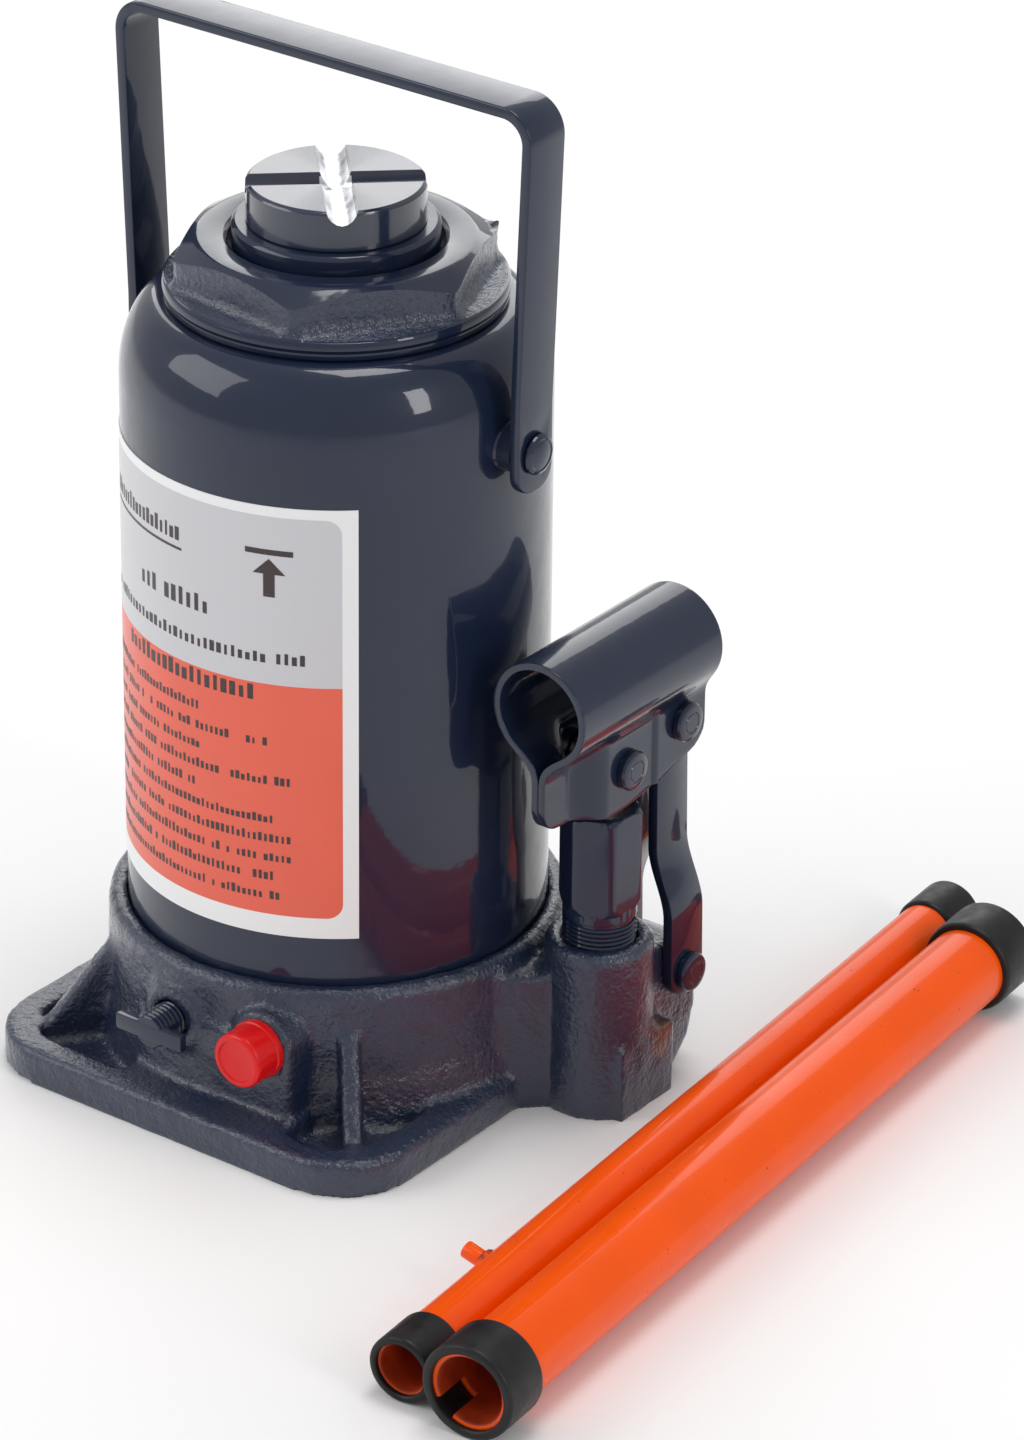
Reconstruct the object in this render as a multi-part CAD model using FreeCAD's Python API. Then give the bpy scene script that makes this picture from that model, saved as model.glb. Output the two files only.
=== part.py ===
import FreeCAD, Part
import math
import os

# Hydraulic bottle jack with its two-piece pump lever, as separate pieces.
# Millimetres. +Z is up, the origin is on the floor under the ram, the valves face -Y
# and the hand pump stands on the +X side.

V = FreeCAD.Vector
UP = V(0, 0, 1)

# Fits between pieces
RUNNING = 0.06
LOOSE = 0.3
AIR = 0.02

# Base casting
PLATE_HALF_X = 64.3
PLATE_HALF_Y = 74.0
PLATE_CORNER = 21.5
PLATE_TOP = 9.8
RIM_WIDTH = 9.0
POCKET_FLOOR = 4.5
COLLAR_R = 60.0
COLLAR_TOP = 43.2
FLARE_R = 63.6
FLARE_TOP = 16.0
RIB_ANGLES = (-41.0, 41.0, 139.0, 221.0)
RIB_THICK = 5.0
RESERVOIR_FLOOR = 24.0
BEARING_TOP = 34.5

# Tank and pressure cylinder
TANK_R = 55.0
TANK_WALL = 2.8
TANK_BOTTOM = 36.0
SHOULDER_FROM = 190.0
SHOULDER_R = 43.5
TANK_TOP = 211.0
NECK_R = 41.3
CYLINDER_R = 37.3
CYLINDER_BORE = 30.0
CYLINDER_SEAT = 12.5
CYLINDER_TOP = 215.5
GASKET_THICK = 1.5

# Top nut
NUT_BOTTOM = 211.3
NUT_FLANGE_TOP = 216.4
NUT_FLANGE_R = 43.8
NUT_TOP = 227.4
NUT_FACE_R = 35.5
NUT_FLATS = 73.4
NUT_CORNER = 22.7
NUT_BORE = 27.4
NUT_SKIRT_R = 41.0
NUT_SKIRT_BOTTOM = 199.0
WIPER_BOTTOM = 220.6
WIPER_TOP = 222.6
NECK_SEAL_Z = (206.0, 209.0)
NECK_SEAL_DEPTH = 2.2

# Ram and extension screw
RAM_R = 26.3
RAM_TOP = 231.3
RAM_BOTTOM = 16.0
PISTON_TOP = 40.0
SCREW_THREAD_R = 18.0
SCREW_ROOT_R = 15.2
SCREW_PITCH = 6.0
SCREW_BOTTOM = 145.3
THREAD_SEAT = 209.3
SADDLE_R = 22.75
SADDLE_TOP = 242.0
SADDLE_GROOVE = 8.0
SADDLE_GROOVE_ANGLE = 42.0

# Hand pump
PUMP_X = 75.6
PUMP_Y = 12.5
BOSS_R = 14.3
BOSS_TOP = 48.2
BARREL_THREAD_R = 9.6
BARREL_FLATS = 19.0
BARREL_BOTTOM = 24.0
BARREL_HEX_FROM = 54.4
BARREL_TOP = 85.0
BARREL_CORNER = 24.5
PLUNGER_R = 6.0
PLUNGER_BOTTOM = 27.0
CHAMBER_R = 6.2

# Pump linkage, as (y, z) of each pin
PLUNGER_PIN = (12.5, 98.0)
LINK_TOP_PIN = (35.0, 103.0)
LINK_BASE_PIN = (36.5, 30.0)
PIN_R = 4.0
PIN_HEAD_R = 5.1
PIN_HEAD = 2.6
EYE_PLAY_Y = 1.15
EYE_PLAY_Z = 0.35
LINK_WIDTH = 14.0
LINK_THICK = 3.0
LINK_INNER = 3.0
LINK_JOG = 5.1
LUG_HALF = 7.8

# Lever socket
SOCKET_Z = 121.4
SOCKET_R = 14.2
SOCKET_BORE = 12.2
SOCKET_FRONT = -14.9
SOCKET_BACK = 44.5
EAR_INNER = 6.3
EAR_THICK = 2.0

# Bail handle
BAIL_PIVOT_Z = 184.5
BAIL_INNER = 59.7
BAIL_LEAN = 3.0
BAIL_WIDTH = 14.0
BAIL_THICK = 3.0
BAIL_BOTTOM = 174.0
BAIL_TOP = 277.0
STUD_R = 3.2
STUD_SHOULDER_R = 6.5
STUD_SHOULDER_X = 59.3

# Release valve and overload valve, axes along Y
RELEASE_X = -5.7
RELEASE_Z = 27.5
RELEASE_FACE = -60.0
RELEASE_FRONT = -71.5
RELEASE_BOSS_R = 8.6
RELEASE_BOSS_FACE = -62.8
RELEASE_BAR_HALF = 2.2
OVERLOAD_X = 22.6
OVERLOAD_Z = 28.5
OVERLOAD_FACE = -61.5
VALVE_SCREW_R = 4.9
VALVE_SEAT_Y = -42.0
VALVE_PITCH = 1.5

# Check valves
SUCTION_SEAT_Z = 14.0
SUCTION_BALL_R = 3.0
SUCTION_WELL = (38.0, 24.0)
DELIVERY_WELL = (10.0, 5.0)
DELIVERY_SEAT_Z = 6.5
DELIVERY_BALL_R = 2.8
PORT_R = 1.8

# Label and filler plug
LABEL_ANGLES = (-60.0, 43.8)
LABEL_Z = (56.3, 176.5)
FILLER_Z = 165.0

# Two-piece lever lying beside the jack
LEVER_TURN = 4.73
THICK_NEAR = V(147.4, -137.9, 12.8)
THICK_LENGTH = 261.8
THICK_R = 11.0
THICK_BORE = 9.0
THICK_CAP_R = 12.8
THIN_NEAR = V(125.2, -135.1, 9.0)
THIN_LENGTH = 274.4
THIN_R = 8.0
THIN_BORE = 6.4
THIN_CAP_R = 9.0
CAP_LENGTH = 15.0
CAP_LIP = 1.5
THICK_MOUTH_R = 10.2
THIN_MOUTH_R = 7.0
NOTCH_DEPTH = 12.0
NOTCH_HALF = 2.6
NOTCH_TURN = -35.0
PEG_R = 2.3
PEG_FROM_END = 50.0
PEG_RISE = 18.0
PEG_LENGTH = 6.0


def box(x, y, z):
    """Block between the two values of each axis."""
    size = [axis[1] - axis[0] for axis in (x, y, z)]
    return Part.makeBox(*size, V(x[0], y[0], z[0]))


def rod(radius, start, end):
    """Round bar between two points."""
    axis = end.sub(start)
    return Part.makeCylinder(radius, axis.Length, start, axis)


def post(radius, z0, z1, x=0.0, y=0.0):
    """Upright round bar."""
    return rod(radius, V(x, y, z0), V(x, y, z1))


def ring(r_in, r_out, z0, z1, x=0.0, y=0.0):
    """Upright ring."""
    return post(r_out, z0, z1, x, y).cut(post(r_in, z0, z1, x, y))


def prism(points, reach):
    """Closed outline of points pushed along the vector reach."""
    return Part.Face(Part.makePolygon(points + points[:1])).extrude(reach)


def turned(profile, x=0.0, y=0.0):
    """Solid turned about the upright through (x, y) from (radius, height) points."""
    points = [V(x + r, y, z) for r, z in profile]
    face = Part.Face(Part.makePolygon(points + points[:1]))
    return face.revolve(V(x, y, 0), UP, 360)


def turned_along(profile, start, direction):
    """Solid turned about start + direction from (radius, distance) points."""
    solid = turned(profile)
    turn = FreeCAD.Rotation(UP, direction)
    solid.Placement = FreeCAD.Placement(start, turn)
    return solid


def hexagon(flats, z0, z1, corner, x=0.0, y=0.0):
    """Upright hexagonal bar with one corner at the angle corner from +X."""
    radius = flats / math.sqrt(3.0)
    angles = [math.radians(corner + 60.0 * k) for k in range(6)]
    points = [V(x + radius * math.cos(a), y + radius * math.sin(a), z0) for a in angles]
    return prism(points, V(0, 0, z1 - z0))


def grooved(r_outer, r_root, start, end, pitch):
    """Profile points of a thread's ring grooves between two distances."""
    count = int((end - start) / pitch)
    points = []
    for k in range(count):
        low = start + k * pitch
        points += [(r_root, low), (r_outer, low + 0.35 * pitch), (r_outer, low + 0.65 * pitch)]
    return points + [(r_root, start + count * pitch)]


def fuse(solids):
    return solids[0].fuse(solids[1:]).removeSplitter()


def cut(solid, tools):
    return solid.cut(tools).removeSplitter()


def upright_edges(solid):
    return [e for e in solid.Edges if abs(e.BoundBox.ZLength - solid.BoundBox.ZLength) < 0.01]


# ---------------------------------------------------------------- base casting

def plate():
    """Footplate with a raised rim round its pockets."""
    slab = box((-PLATE_HALF_X, PLATE_HALF_X), (-PLATE_HALF_Y, PLATE_HALF_Y), (0, PLATE_TOP))
    slab = slab.makeFillet(PLATE_CORNER, upright_edges(slab))
    top = [e for e in slab.Edges if e.BoundBox.ZMin > PLATE_TOP - 0.01]
    slab = slab.makeFillet(1.6, top)
    inner_x = PLATE_HALF_X - RIM_WIDTH
    inner_y = PLATE_HALF_Y - RIM_WIDTH
    pocket = box((-inner_x, inner_x), (-inner_y, inner_y), (POCKET_FLOOR, 2 * PLATE_TOP))
    pocket = pocket.makeFillet(PLATE_CORNER - RIM_WIDTH, upright_edges(pocket))
    floor_edges = [e for e in pocket.Edges if e.BoundBox.ZMax < POCKET_FLOOR + 0.01]
    return slab.cut(pocket.makeFillet(2.5, floor_edges))


def collar():
    """Round wall that the tank stands in, flared at its foot."""
    return turned([
        (0, 0), (FLARE_R, 0), (FLARE_R, POCKET_FLOOR + 1), (COLLAR_R + 1.6, FLARE_TOP),
        (COLLAR_R + 0.6, FLARE_TOP + 4), (COLLAR_R, COLLAR_TOP - 1.8),
        (COLLAR_R - 1.8, COLLAR_TOP), (0, COLLAR_TOP),
    ])


def diagonal_rib(angle):
    """Sloping rib from the collar to a corner of the rim; angle is taken from -Y."""
    outline = [
        V(-RIB_THICK / 2, -r, z)
        for r, z in ((50, 0), (82, 0), (82, PLATE_TOP - 0.6), (78, PLATE_TOP), (60, 33), (50, 33))
    ]
    rib = prism(outline, V(RIB_THICK, 0, 0))
    rib.rotate(V(0, 0, 0), UP, angle)
    return rib


def valve_bosses():
    """Block on the front with an arched boss round each valve."""
    release = [
        box((-19.5, 1.0), (RELEASE_FACE, -45), (0, RELEASE_Z - 4)),
        rod(10.8, V(RELEASE_X, RELEASE_FACE, RELEASE_Z), V(RELEASE_X, -45, RELEASE_Z)),
        rod(RELEASE_BOSS_R, V(RELEASE_X, RELEASE_BOSS_FACE, RELEASE_Z), V(RELEASE_X, -45, RELEASE_Z)),
        box((RELEASE_X - 10.8, 1.0), (RELEASE_FACE, -45), (PLATE_TOP, RELEASE_Z)),
    ]
    overload = [
        box((0.8, 32.2), (OVERLOAD_FACE, -40), (0, OVERLOAD_Z - 3)),
        rod(9.6, V(OVERLOAD_X, OVERLOAD_FACE, OVERLOAD_Z), V(OVERLOAD_X, -40, OVERLOAD_Z)),
        box((4.5, 32.2), (OVERLOAD_FACE, -40), (PLATE_TOP, OVERLOAD_Z + 1)),
    ]
    apron = box((-19.5, 34), (-67, -45), (0, PLATE_TOP))
    return release + overload + [apron]


def pump_side():
    """Pump boss, the web that carries it, its foot and the link lug."""
    web = [
        V(48, -14, 0), V(60.4, -9.6, 0), V(65.5, -5.5, 0), V(70.4, -1.0, 0),
        V(PUMP_X, PUMP_Y, 0), V(72, 28, 0), V(62, 34, 0), V(46, 38, 0),
    ]
    lug = [
        V(PUMP_X - LUG_HALF, y, z)
        for y, z in ((18, 0), (36, 0), (43, 7), (45.5, 16), (45.5, 31), (43, 36.5), (37, 39), (18, 39))
    ]
    foot = box((PUMP_X, 89.6), (4.4, 27.5), (0, 20.5))
    return [
        prism(web, V(0, 0, 38.5)),
        turned([(0, 0), (BOSS_R, 0), (BOSS_R, BOSS_TOP - 1.4), (BOSS_R - 1.4, BOSS_TOP),
                (0, BOSS_TOP)], PUMP_X, PUMP_Y),
        foot,
        prism(lug, V(2 * LUG_HALF, 0, 0)),
    ]


def oil_passages():
    """Drilled ways between reservoir, pump, cylinder and the two valves."""
    pump_port = V(PUMP_X, PUMP_Y, 17.0)
    well = V(*DELIVERY_WELL, 4.5)
    low_z = SUCTION_SEAT_Z - 4.5
    suction = V(*SUCTION_WELL, low_z)
    release_drop = V(RELEASE_X, VALVE_SEAT_Y + 2.2, RELEASE_Z)
    overload_drop = V(OVERLOAD_X, VALVE_SEAT_Y + 2.2, OVERLOAD_Z)
    drain = [
        rod(1.3, V(p.x, VALVE_SEAT_Y - 1, p.z), p) for p in (release_drop, overload_drop)
    ]
    drops = [
        rod(1.3, p, V(p.x, p.y, 6.0)) for p in (release_drop, overload_drop)
    ]
    floors = [
        rod(1.3, V(p.x, p.y, 6.6), V(0, 0, 6.6)) for p in (release_drop, overload_drop)
    ]
    return drain + drops + floors + [
        rod(PORT_R, pump_port, well),
        post(PORT_R, well.z, DELIVERY_SEAT_Z + 1, well.x, well.y),
        post(3.4, DELIVERY_SEAT_Z, CYLINDER_SEAT + 1, well.x, well.y),
        post(2.0, 5.5, CYLINDER_SEAT + 1),
        post(2.0, low_z, SUCTION_SEAT_Z + 1, PUMP_X, PUMP_Y),
        rod(PORT_R, V(PUMP_X, PUMP_Y, low_z), suction),
        post(PORT_R, low_z, RESERVOIR_FLOOR + 1, suction.x, suction.y),
    ]


def pump_well():
    """Threaded well for the barrel, the chamber and the suction valve's pocket."""
    return [
        post(BARREL_THREAD_R + 0.1, BARREL_BOTTOM - GASKET_THICK, BOSS_TOP + 1, PUMP_X, PUMP_Y),
        post(CHAMBER_R, 18.5, BARREL_BOTTOM, PUMP_X, PUMP_Y),
        post(SUCTION_BALL_R + LOOSE, SUCTION_SEAT_Z, 19, PUMP_X, PUMP_Y),
    ]


def valve_wells():
    """Bores behind the release screw and the overload cap."""
    release = (RELEASE_X, RELEASE_Z)
    overload = (OVERLOAD_X, OVERLOAD_Z)
    bores = (
        (release, VALVE_SCREW_R + 0.25, RELEASE_BOSS_FACE - 1, -51.0),
        (release, 3.3, -51.0, VALVE_SEAT_Y),
        (overload, 8.6, OVERLOAD_FACE - 1, OVERLOAD_FACE + 0.6),
        (overload, VALVE_SCREW_R + 0.1, OVERLOAD_FACE, VALVE_SEAT_Y),
    )
    return [rod(r, V(x, y0, z), V(x, y1, z)) for (x, z), r, y0, y1 in bores]


def reservoir_channel():
    """Oil channel between the cylinder seat and the tank, open at the back only."""
    channel = ring(40.0, 49.5, RESERVOIR_FLOOR, BEARING_TOP + 1)
    return channel.cut(box((-26, 39), (-60, -20), (0, COLLAR_TOP)))


def link_pocket():
    """Room beside the lug for the left link and its pin head."""
    outer = LINK_INNER + LINK_JOG + LINK_THICK + PIN_HEAD + 1.0
    y, z = LINK_BASE_PIN
    side = (PUMP_X - outer, PUMP_X - LUG_HALF)
    return box(side, (y - LINK_WIDTH / 2 - 1.5, y + 20), (z - LINK_WIDTH / 2 - 2.0, COLLAR_TOP + 5))


def base_casting():
    solid = plate().fuse([collar()] + [diagonal_rib(a) for a in RIB_ANGLES]
                         + valve_bosses() + pump_side())
    tools = [
        ring(CYLINDER_R + 0.1, TANK_R + 0.05, BEARING_TOP, COLLAR_TOP + 1),
        post(CYLINDER_R + 0.1, CYLINDER_SEAT, COLLAR_TOP + 1),
        reservoir_channel(),
        rod(PIN_R, V(PUMP_X - 20, *LINK_BASE_PIN), V(PUMP_X + 20, *LINK_BASE_PIN)),
        link_pocket(),
    ]
    return cut(solid, tools + oil_passages() + pump_well() + valve_wells())


# ------------------------------------------------- tank, cylinder and top nut

def shoulder_face(inset):
    """Half section of the tank's outside, drawn in by inset."""
    r = TANK_R - inset
    top = TANK_TOP - inset
    centre = V(SHOULDER_R, 0, SHOULDER_FROM)
    curve = Part.Ellipse(V(SHOULDER_R, 0, top), V(r, 0, SHOULDER_FROM), centre)
    ends = [curve.parameter(p) for p in (V(SHOULDER_R, 0, top), V(r, 0, SHOULDER_FROM))]
    first, last = sorted(ends)
    if last - first > math.pi:
        first, last = last, first + 2 * math.pi
    shoulder = Part.ArcOfEllipse(curve, first, last).toShape()
    corners = [V(r, 0, SHOULDER_FROM), V(r, 0, TANK_BOTTOM), V(0, 0, TANK_BOTTOM),
               V(0, 0, top), V(SHOULDER_R, 0, top)]
    lines = [Part.makeLine(a, b) for a, b in zip(corners, corners[1:])]
    return Part.Face(Part.Wire(Part.__sortEdges__(lines + [shoulder])))


def tank_shell():
    outer, inner = [
        shoulder_face(inset).revolve(V(0, 0, 0), UP, 360) for inset in (0.0, TANK_WALL)
    ]
    filler = rod(5.0, V(0, 40, FILLER_Z), V(0, 70, FILLER_Z))
    return cut(outer, [inner, post(NECK_R, TANK_TOP - 20, TANK_TOP + 1), filler])


def pressure_cylinder():
    low = CYLINDER_SEAT + GASKET_THICK
    groove_from = NUT_SKIRT_BOTTOM + 1
    thread = grooved(CYLINDER_R, CYLINDER_R - 0.9, groove_from, CYLINDER_TOP - 1, 2.0)
    wall = [(CYLINDER_BORE, low), (CYLINDER_R, low), (CYLINDER_R, groove_from - 0.5)]
    top = [(CYLINDER_R - 1.0, CYLINDER_TOP), (CYLINDER_BORE, CYLINDER_TOP)]
    return turned(wall + thread + top)


def top_nut():
    """Hexagonal cap nut: cast flats, a turned chamfer, a round flange and a skirt."""
    hexagon_part = hexagon(NUT_FLATS, NUT_FLANGE_TOP - 1, NUT_TOP, NUT_CORNER - 90.0)
    drop = (NUT_FLATS / math.sqrt(3.0) + 1 - NUT_FACE_R) * math.tan(math.radians(30))
    chamfer = turned([(0, NUT_FLANGE_TOP - 2), (NUT_FLATS / math.sqrt(3.0) + 1, NUT_FLANGE_TOP - 2),
                      (NUT_FLATS / math.sqrt(3.0) + 1, NUT_TOP - drop), (NUT_FACE_R, NUT_TOP),
                      (0, NUT_TOP)])
    groove_z = NUT_BOTTOM + 2.3
    flange = turned([
        (0, NUT_SKIRT_BOTTOM), (NUT_SKIRT_R, NUT_SKIRT_BOTTOM), (NUT_SKIRT_R, NUT_BOTTOM),
        (NUT_FLANGE_R - 0.8, NUT_BOTTOM), (NUT_FLANGE_R - 0.2, NUT_BOTTOM + 0.6),
        (NUT_FLANGE_R - 0.2, groove_z - 0.4), (NUT_FLANGE_R - 0.9, groove_z),
        (NUT_FLANGE_R, groove_z + 0.4), (NUT_FLANGE_R, NUT_FLANGE_TOP - 1.2),
        (NUT_FLANGE_R - 1.2, NUT_FLANGE_TOP), (0, NUT_FLANGE_TOP),
    ])
    bore = [
        post(NUT_BORE, NUT_SKIRT_BOTTOM - 1, NUT_TOP + 1),
        post(CYLINDER_R, NUT_SKIRT_BOTTOM - 1, CYLINDER_TOP),
        post(CYLINDER_BORE, CYLINDER_TOP, WIPER_TOP),
        ring(NUT_SKIRT_R - NECK_SEAL_DEPTH, NUT_SKIRT_R + 1, *NECK_SEAL_Z),
        turned([(NUT_BORE - 1, NUT_TOP - 1), (NUT_BORE + 1.2, NUT_TOP + 0.2),
                (NUT_BORE - 1, NUT_TOP + 0.2)]),
    ]
    return cut(fuse([hexagon_part.common(chamfer), flange]), bore)


def oil_filler_plug():
    """Rubber plug pushed into the back of the tank."""
    head = turned_along([(0, 0), (8.0, 0), (8.0, 8.0), (6.6, 9.4), (0, 9.4)],
                        V(0, TANK_R - 6.0, FILLER_Z), V(0, 1, 0))
    head = head.cut(post(TANK_R, FILLER_Z - 20, FILLER_Z + 20))
    stem = rod(5.0, V(0, TANK_R - 5.0, FILLER_Z), V(0, TANK_R + 1.0, FILLER_Z))
    return fuse([head, stem])


def data_label():
    """Thin film wrapped on the front of the tank."""
    low, high = LABEL_Z
    corners = [V(TANK_R + AIR, 0, low), V(TANK_R + 0.25, 0, low),
               V(TANK_R + 0.25, 0, high), V(TANK_R + AIR, 0, high)]
    film = Part.Face(Part.makePolygon(corners + corners[:1]))
    film = film.revolve(V(0, 0, 0), UP, LABEL_ANGLES[1] - LABEL_ANGLES[0])
    film.rotate(V(0, 0, 0), UP, LABEL_ANGLES[0] - 90.0)
    return film


# ------------------------------------------------------ ram and extension screw

def ram():
    """Piston rod with its piston land, bored for the extension screw."""
    body = turned([
        (0, RAM_BOTTOM), (25.0, RAM_BOTTOM), (25.0, 19.0), (26.0, 20.0), (26.0, 27.0),
        (CYLINDER_BORE - LOOSE, 27.0), (CYLINDER_BORE - LOOSE, 30.0), (27.5, 30.0), (27.5, 36.0),
        (CYLINDER_BORE - LOOSE, 36.0), (CYLINDER_BORE - LOOSE, PISTON_TOP), (RAM_R, PISTON_TOP + 3),
        (RAM_R, RAM_TOP - 1.0), (RAM_R - 1.0, RAM_TOP), (0, RAM_TOP),
    ])
    bore = [
        post(SCREW_THREAD_R + LOOSE, THREAD_SEAT - 1, RAM_TOP + 1),
        post(20.2, SCREW_BOTTOM - 3.0, THREAD_SEAT),
    ]
    return cut(body, bore)


def piston_seal():
    """Cup seal on the pressure side of the piston."""
    return turned([(26.0, 20.6), (28.0, 20.6), (28.6, 21.6), (CYLINDER_BORE - RUNNING, 20.6),
                   (CYLINDER_BORE - RUNNING, 26.0), (29.4, 27.0), (26.0, 27.0)])


def extension_screw():
    """Threaded shank with a grooved saddle head."""
    shank = [(0, SCREW_BOTTOM), (13.0, SCREW_BOTTOM), (13.0, 146.0), (12.0, 146.0),
             (12.0, 149.3), (SCREW_ROOT_R, 149.3), (SCREW_ROOT_R, 152.0)]
    thread = grooved(SCREW_THREAD_R, SCREW_ROOT_R, 152.0, 224.5, SCREW_PITCH)
    head = [(SCREW_ROOT_R, RAM_TOP + AIR), (SADDLE_R, RAM_TOP + AIR),
            (SADDLE_R, SADDLE_TOP - 1.0), (SADDLE_R - 1.0, SADDLE_TOP), (0, SADDLE_TOP)]
    body = turned(shank + thread + head)
    for turn in (SADDLE_GROOVE_ANGLE, SADDLE_GROOVE_ANGLE - 90.0):
        half = SADDLE_GROOVE / 2
        outline = [V(-30, y, z) for y, z in (
            (-half, SADDLE_TOP + 1), (-half, SADDLE_TOP - 1.0), (-half + 1.8, SADDLE_TOP - 3.6),
            (half - 1.8, SADDLE_TOP - 3.6), (half, SADDLE_TOP - 1.0), (half, SADDLE_TOP + 1))]
        groove = prism(outline, V(60, 0, 0))
        groove.rotate(V(0, 0, 0), UP, turn)
        body = body.cut(groove)
    return body.removeSplitter()


def screw_stop_ring():
    """Ring on the shank's end that keeps the screw from leaving the ram."""
    return ring(12.0 + LOOSE, 19.6, 146.4, 148.9)


# -------------------------------------------------------------------- hand pump

def pump_barrel():
    thread = grooved(BARREL_THREAD_R, BARREL_THREAD_R - 0.7, BARREL_BOTTOM + 0.8,
                     BARREL_HEX_FROM - 0.4, 1.25)
    shank = turned([(0, BARREL_BOTTOM), (BARREL_THREAD_R - 0.7, BARREL_BOTTOM)] + thread
                   + [(BARREL_THREAD_R - 0.7, BARREL_HEX_FROM + 1), (0, BARREL_HEX_FROM + 1)],
                   PUMP_X, PUMP_Y)
    corner = BARREL_FLATS / math.sqrt(3.0)
    neck = BARREL_FLATS / 2 + 0.15
    trim = turned([(0, BARREL_HEX_FROM), (neck - 0.4, BARREL_HEX_FROM), (neck, BARREL_HEX_FROM + 0.4),
                   (neck, BARREL_HEX_FROM + 2.6), (corner + 0.1, BARREL_HEX_FROM + 5.6),
                   (corner + 0.1, BARREL_TOP - 1.4), (corner - 1.6, BARREL_TOP), (0, BARREL_TOP)],
                  PUMP_X, PUMP_Y)
    bar = hexagon(BARREL_FLATS, BARREL_HEX_FROM, BARREL_TOP, BARREL_CORNER, PUMP_X, PUMP_Y)
    bores = [
        post(PLUNGER_R + RUNNING, BARREL_BOTTOM - 1, BARREL_TOP + 1, PUMP_X, PUMP_Y),
        post(8.2, BARREL_TOP - 4.0, BARREL_TOP + 1, PUMP_X, PUMP_Y),
    ]
    return cut(fuse([shank, bar.common(trim)]), bores)


def plunger_eye():
    """Slotted cross hole that the plunger pin works in."""
    y, z = PLUNGER_PIN
    radius = PIN_R + EYE_PLAY_Z
    shift = EYE_PLAY_Y - EYE_PLAY_Z
    ends = [rod(radius, V(PUMP_X - 9, y + s, z), V(PUMP_X + 9, y + s, z)) for s in (-shift, shift)]
    middle = box((PUMP_X - 9, PUMP_X + 9), (y - shift, y + shift), (z - radius, z + radius))
    return ends + [middle]


def pump_plunger():
    y, z = PLUNGER_PIN
    half = EAR_INNER - 0.5
    stem = turned([(0, PLUNGER_BOTTOM), (4.6, PLUNGER_BOTTOM), (PLUNGER_R, PLUNGER_BOTTOM + 1),
                   (PLUNGER_R, 32.0), (4.6, 32.0), (4.6, 35.0), (PLUNGER_R, 35.0), (PLUNGER_R, 92.0),
                   (0, 92.0)], PUMP_X, PUMP_Y)
    top = rod(7.2, V(PUMP_X - half, y, z), V(PUMP_X + half, y, z))
    neck = box((PUMP_X - half, PUMP_X + half), (y - 7.2, y + 7.2), (89.0, z))
    return cut(fuse([stem, top, neck]), plunger_eye())


# ---------------------------------------------------------------------- linkage

def headed_pin(centre, half):
    """Pin along X with a round head at each end; half is where the heads start."""
    y, z = centre
    bar = rod(PIN_R, V(PUMP_X - half, y, z), V(PUMP_X + half, y, z))
    heads = []
    for sign in (-1, 1):
        profile = [(0, 0), (PIN_HEAD_R, 0), (PIN_HEAD_R, PIN_HEAD - 0.7), (PIN_HEAD_R - 0.7, PIN_HEAD),
                   (0, PIN_HEAD)]
        heads.append(turned_along(profile, V(PUMP_X + sign * half, y, z), V(sign, 0, 0)))
    return fuse([bar] + heads)


def link_plate(sign):
    """Flat strip bent outwards half way down, on the side given by sign."""
    inner = LINK_INNER
    outer = inner + LINK_THICK
    lower = inner + LINK_JOG
    z_top = LINK_TOP_PIN[1] + 10
    z_low = LINK_BASE_PIN[1] - 10
    path = [(inner, z_top), (inner, 66.0), (lower, 48.0), (lower, z_low),
            (lower + LINK_THICK, z_low), (lower + LINK_THICK, 48.6), (outer, 66.6), (outer, z_top)]
    strip = prism([V(PUMP_X + sign * x, 0, z) for x, z in path], V(0, 80, 0))
    half = LINK_WIDTH / 2
    y0, z0 = LINK_BASE_PIN
    y1, z1 = LINK_TOP_PIN
    reach = V(40, 0, 0)
    start = PUMP_X - 20
    side = prism([V(start, y0 - half, z0), V(start, y0 + half, z0), V(start, y1 + half - 0.4, z1),
                  V(start, y1 - half + 0.4, z1)], reach)
    ends = [rod(half, V(start, y0, z0), V(start + 40, y0, z0)),
            rod(half - 0.4, V(start, y1, z1), V(start + 40, y1, z1))]
    blank = fuse([side] + ends)
    top_hole = rod(PIN_R, V(start, y1, z1), V(start + 40, y1, z1))
    base_hole = rod(PIN_R + RUNNING, V(start, y0, z0), V(start + 40, y0, z0))
    return cut(strip.common(blank), [top_hole, base_hole])


def socket_ears():
    """Flanges of the rolled sheet: pinched in front, spread round plunger and links."""
    outer = EAR_INNER + EAR_THICK
    plan = [(0, SOCKET_FRONT), (EAR_THICK, SOCKET_FRONT), (EAR_THICK, -2.4), (outer, 2.4),
            (outer, SOCKET_BACK), (EAR_INNER, SOCKET_BACK), (EAR_INNER, 3.8), (0, -1.0)]
    side = [
        (SOCKET_FRONT, 112), (SOCKET_FRONT, 91), (-12.5, 88.4), (-8, 87.9), (0, 88.0), (6, 87.1),
        (14, 87.3), (22, 88.8), (32, 91.4), (40, 93.2), (43.4, 95.6), (SOCKET_BACK, 99),
        (SOCKET_BACK, 112),
    ]
    outline = prism([V(PUMP_X - 20, y, z) for y, z in side], V(40, 0, 0))
    flanges = [
        prism([V(PUMP_X + sign * x, y, 80) for x, y in plan], V(0, 0, 40)).common(outline)
        for sign in (-1, 1)
    ]
    return flanges


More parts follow.
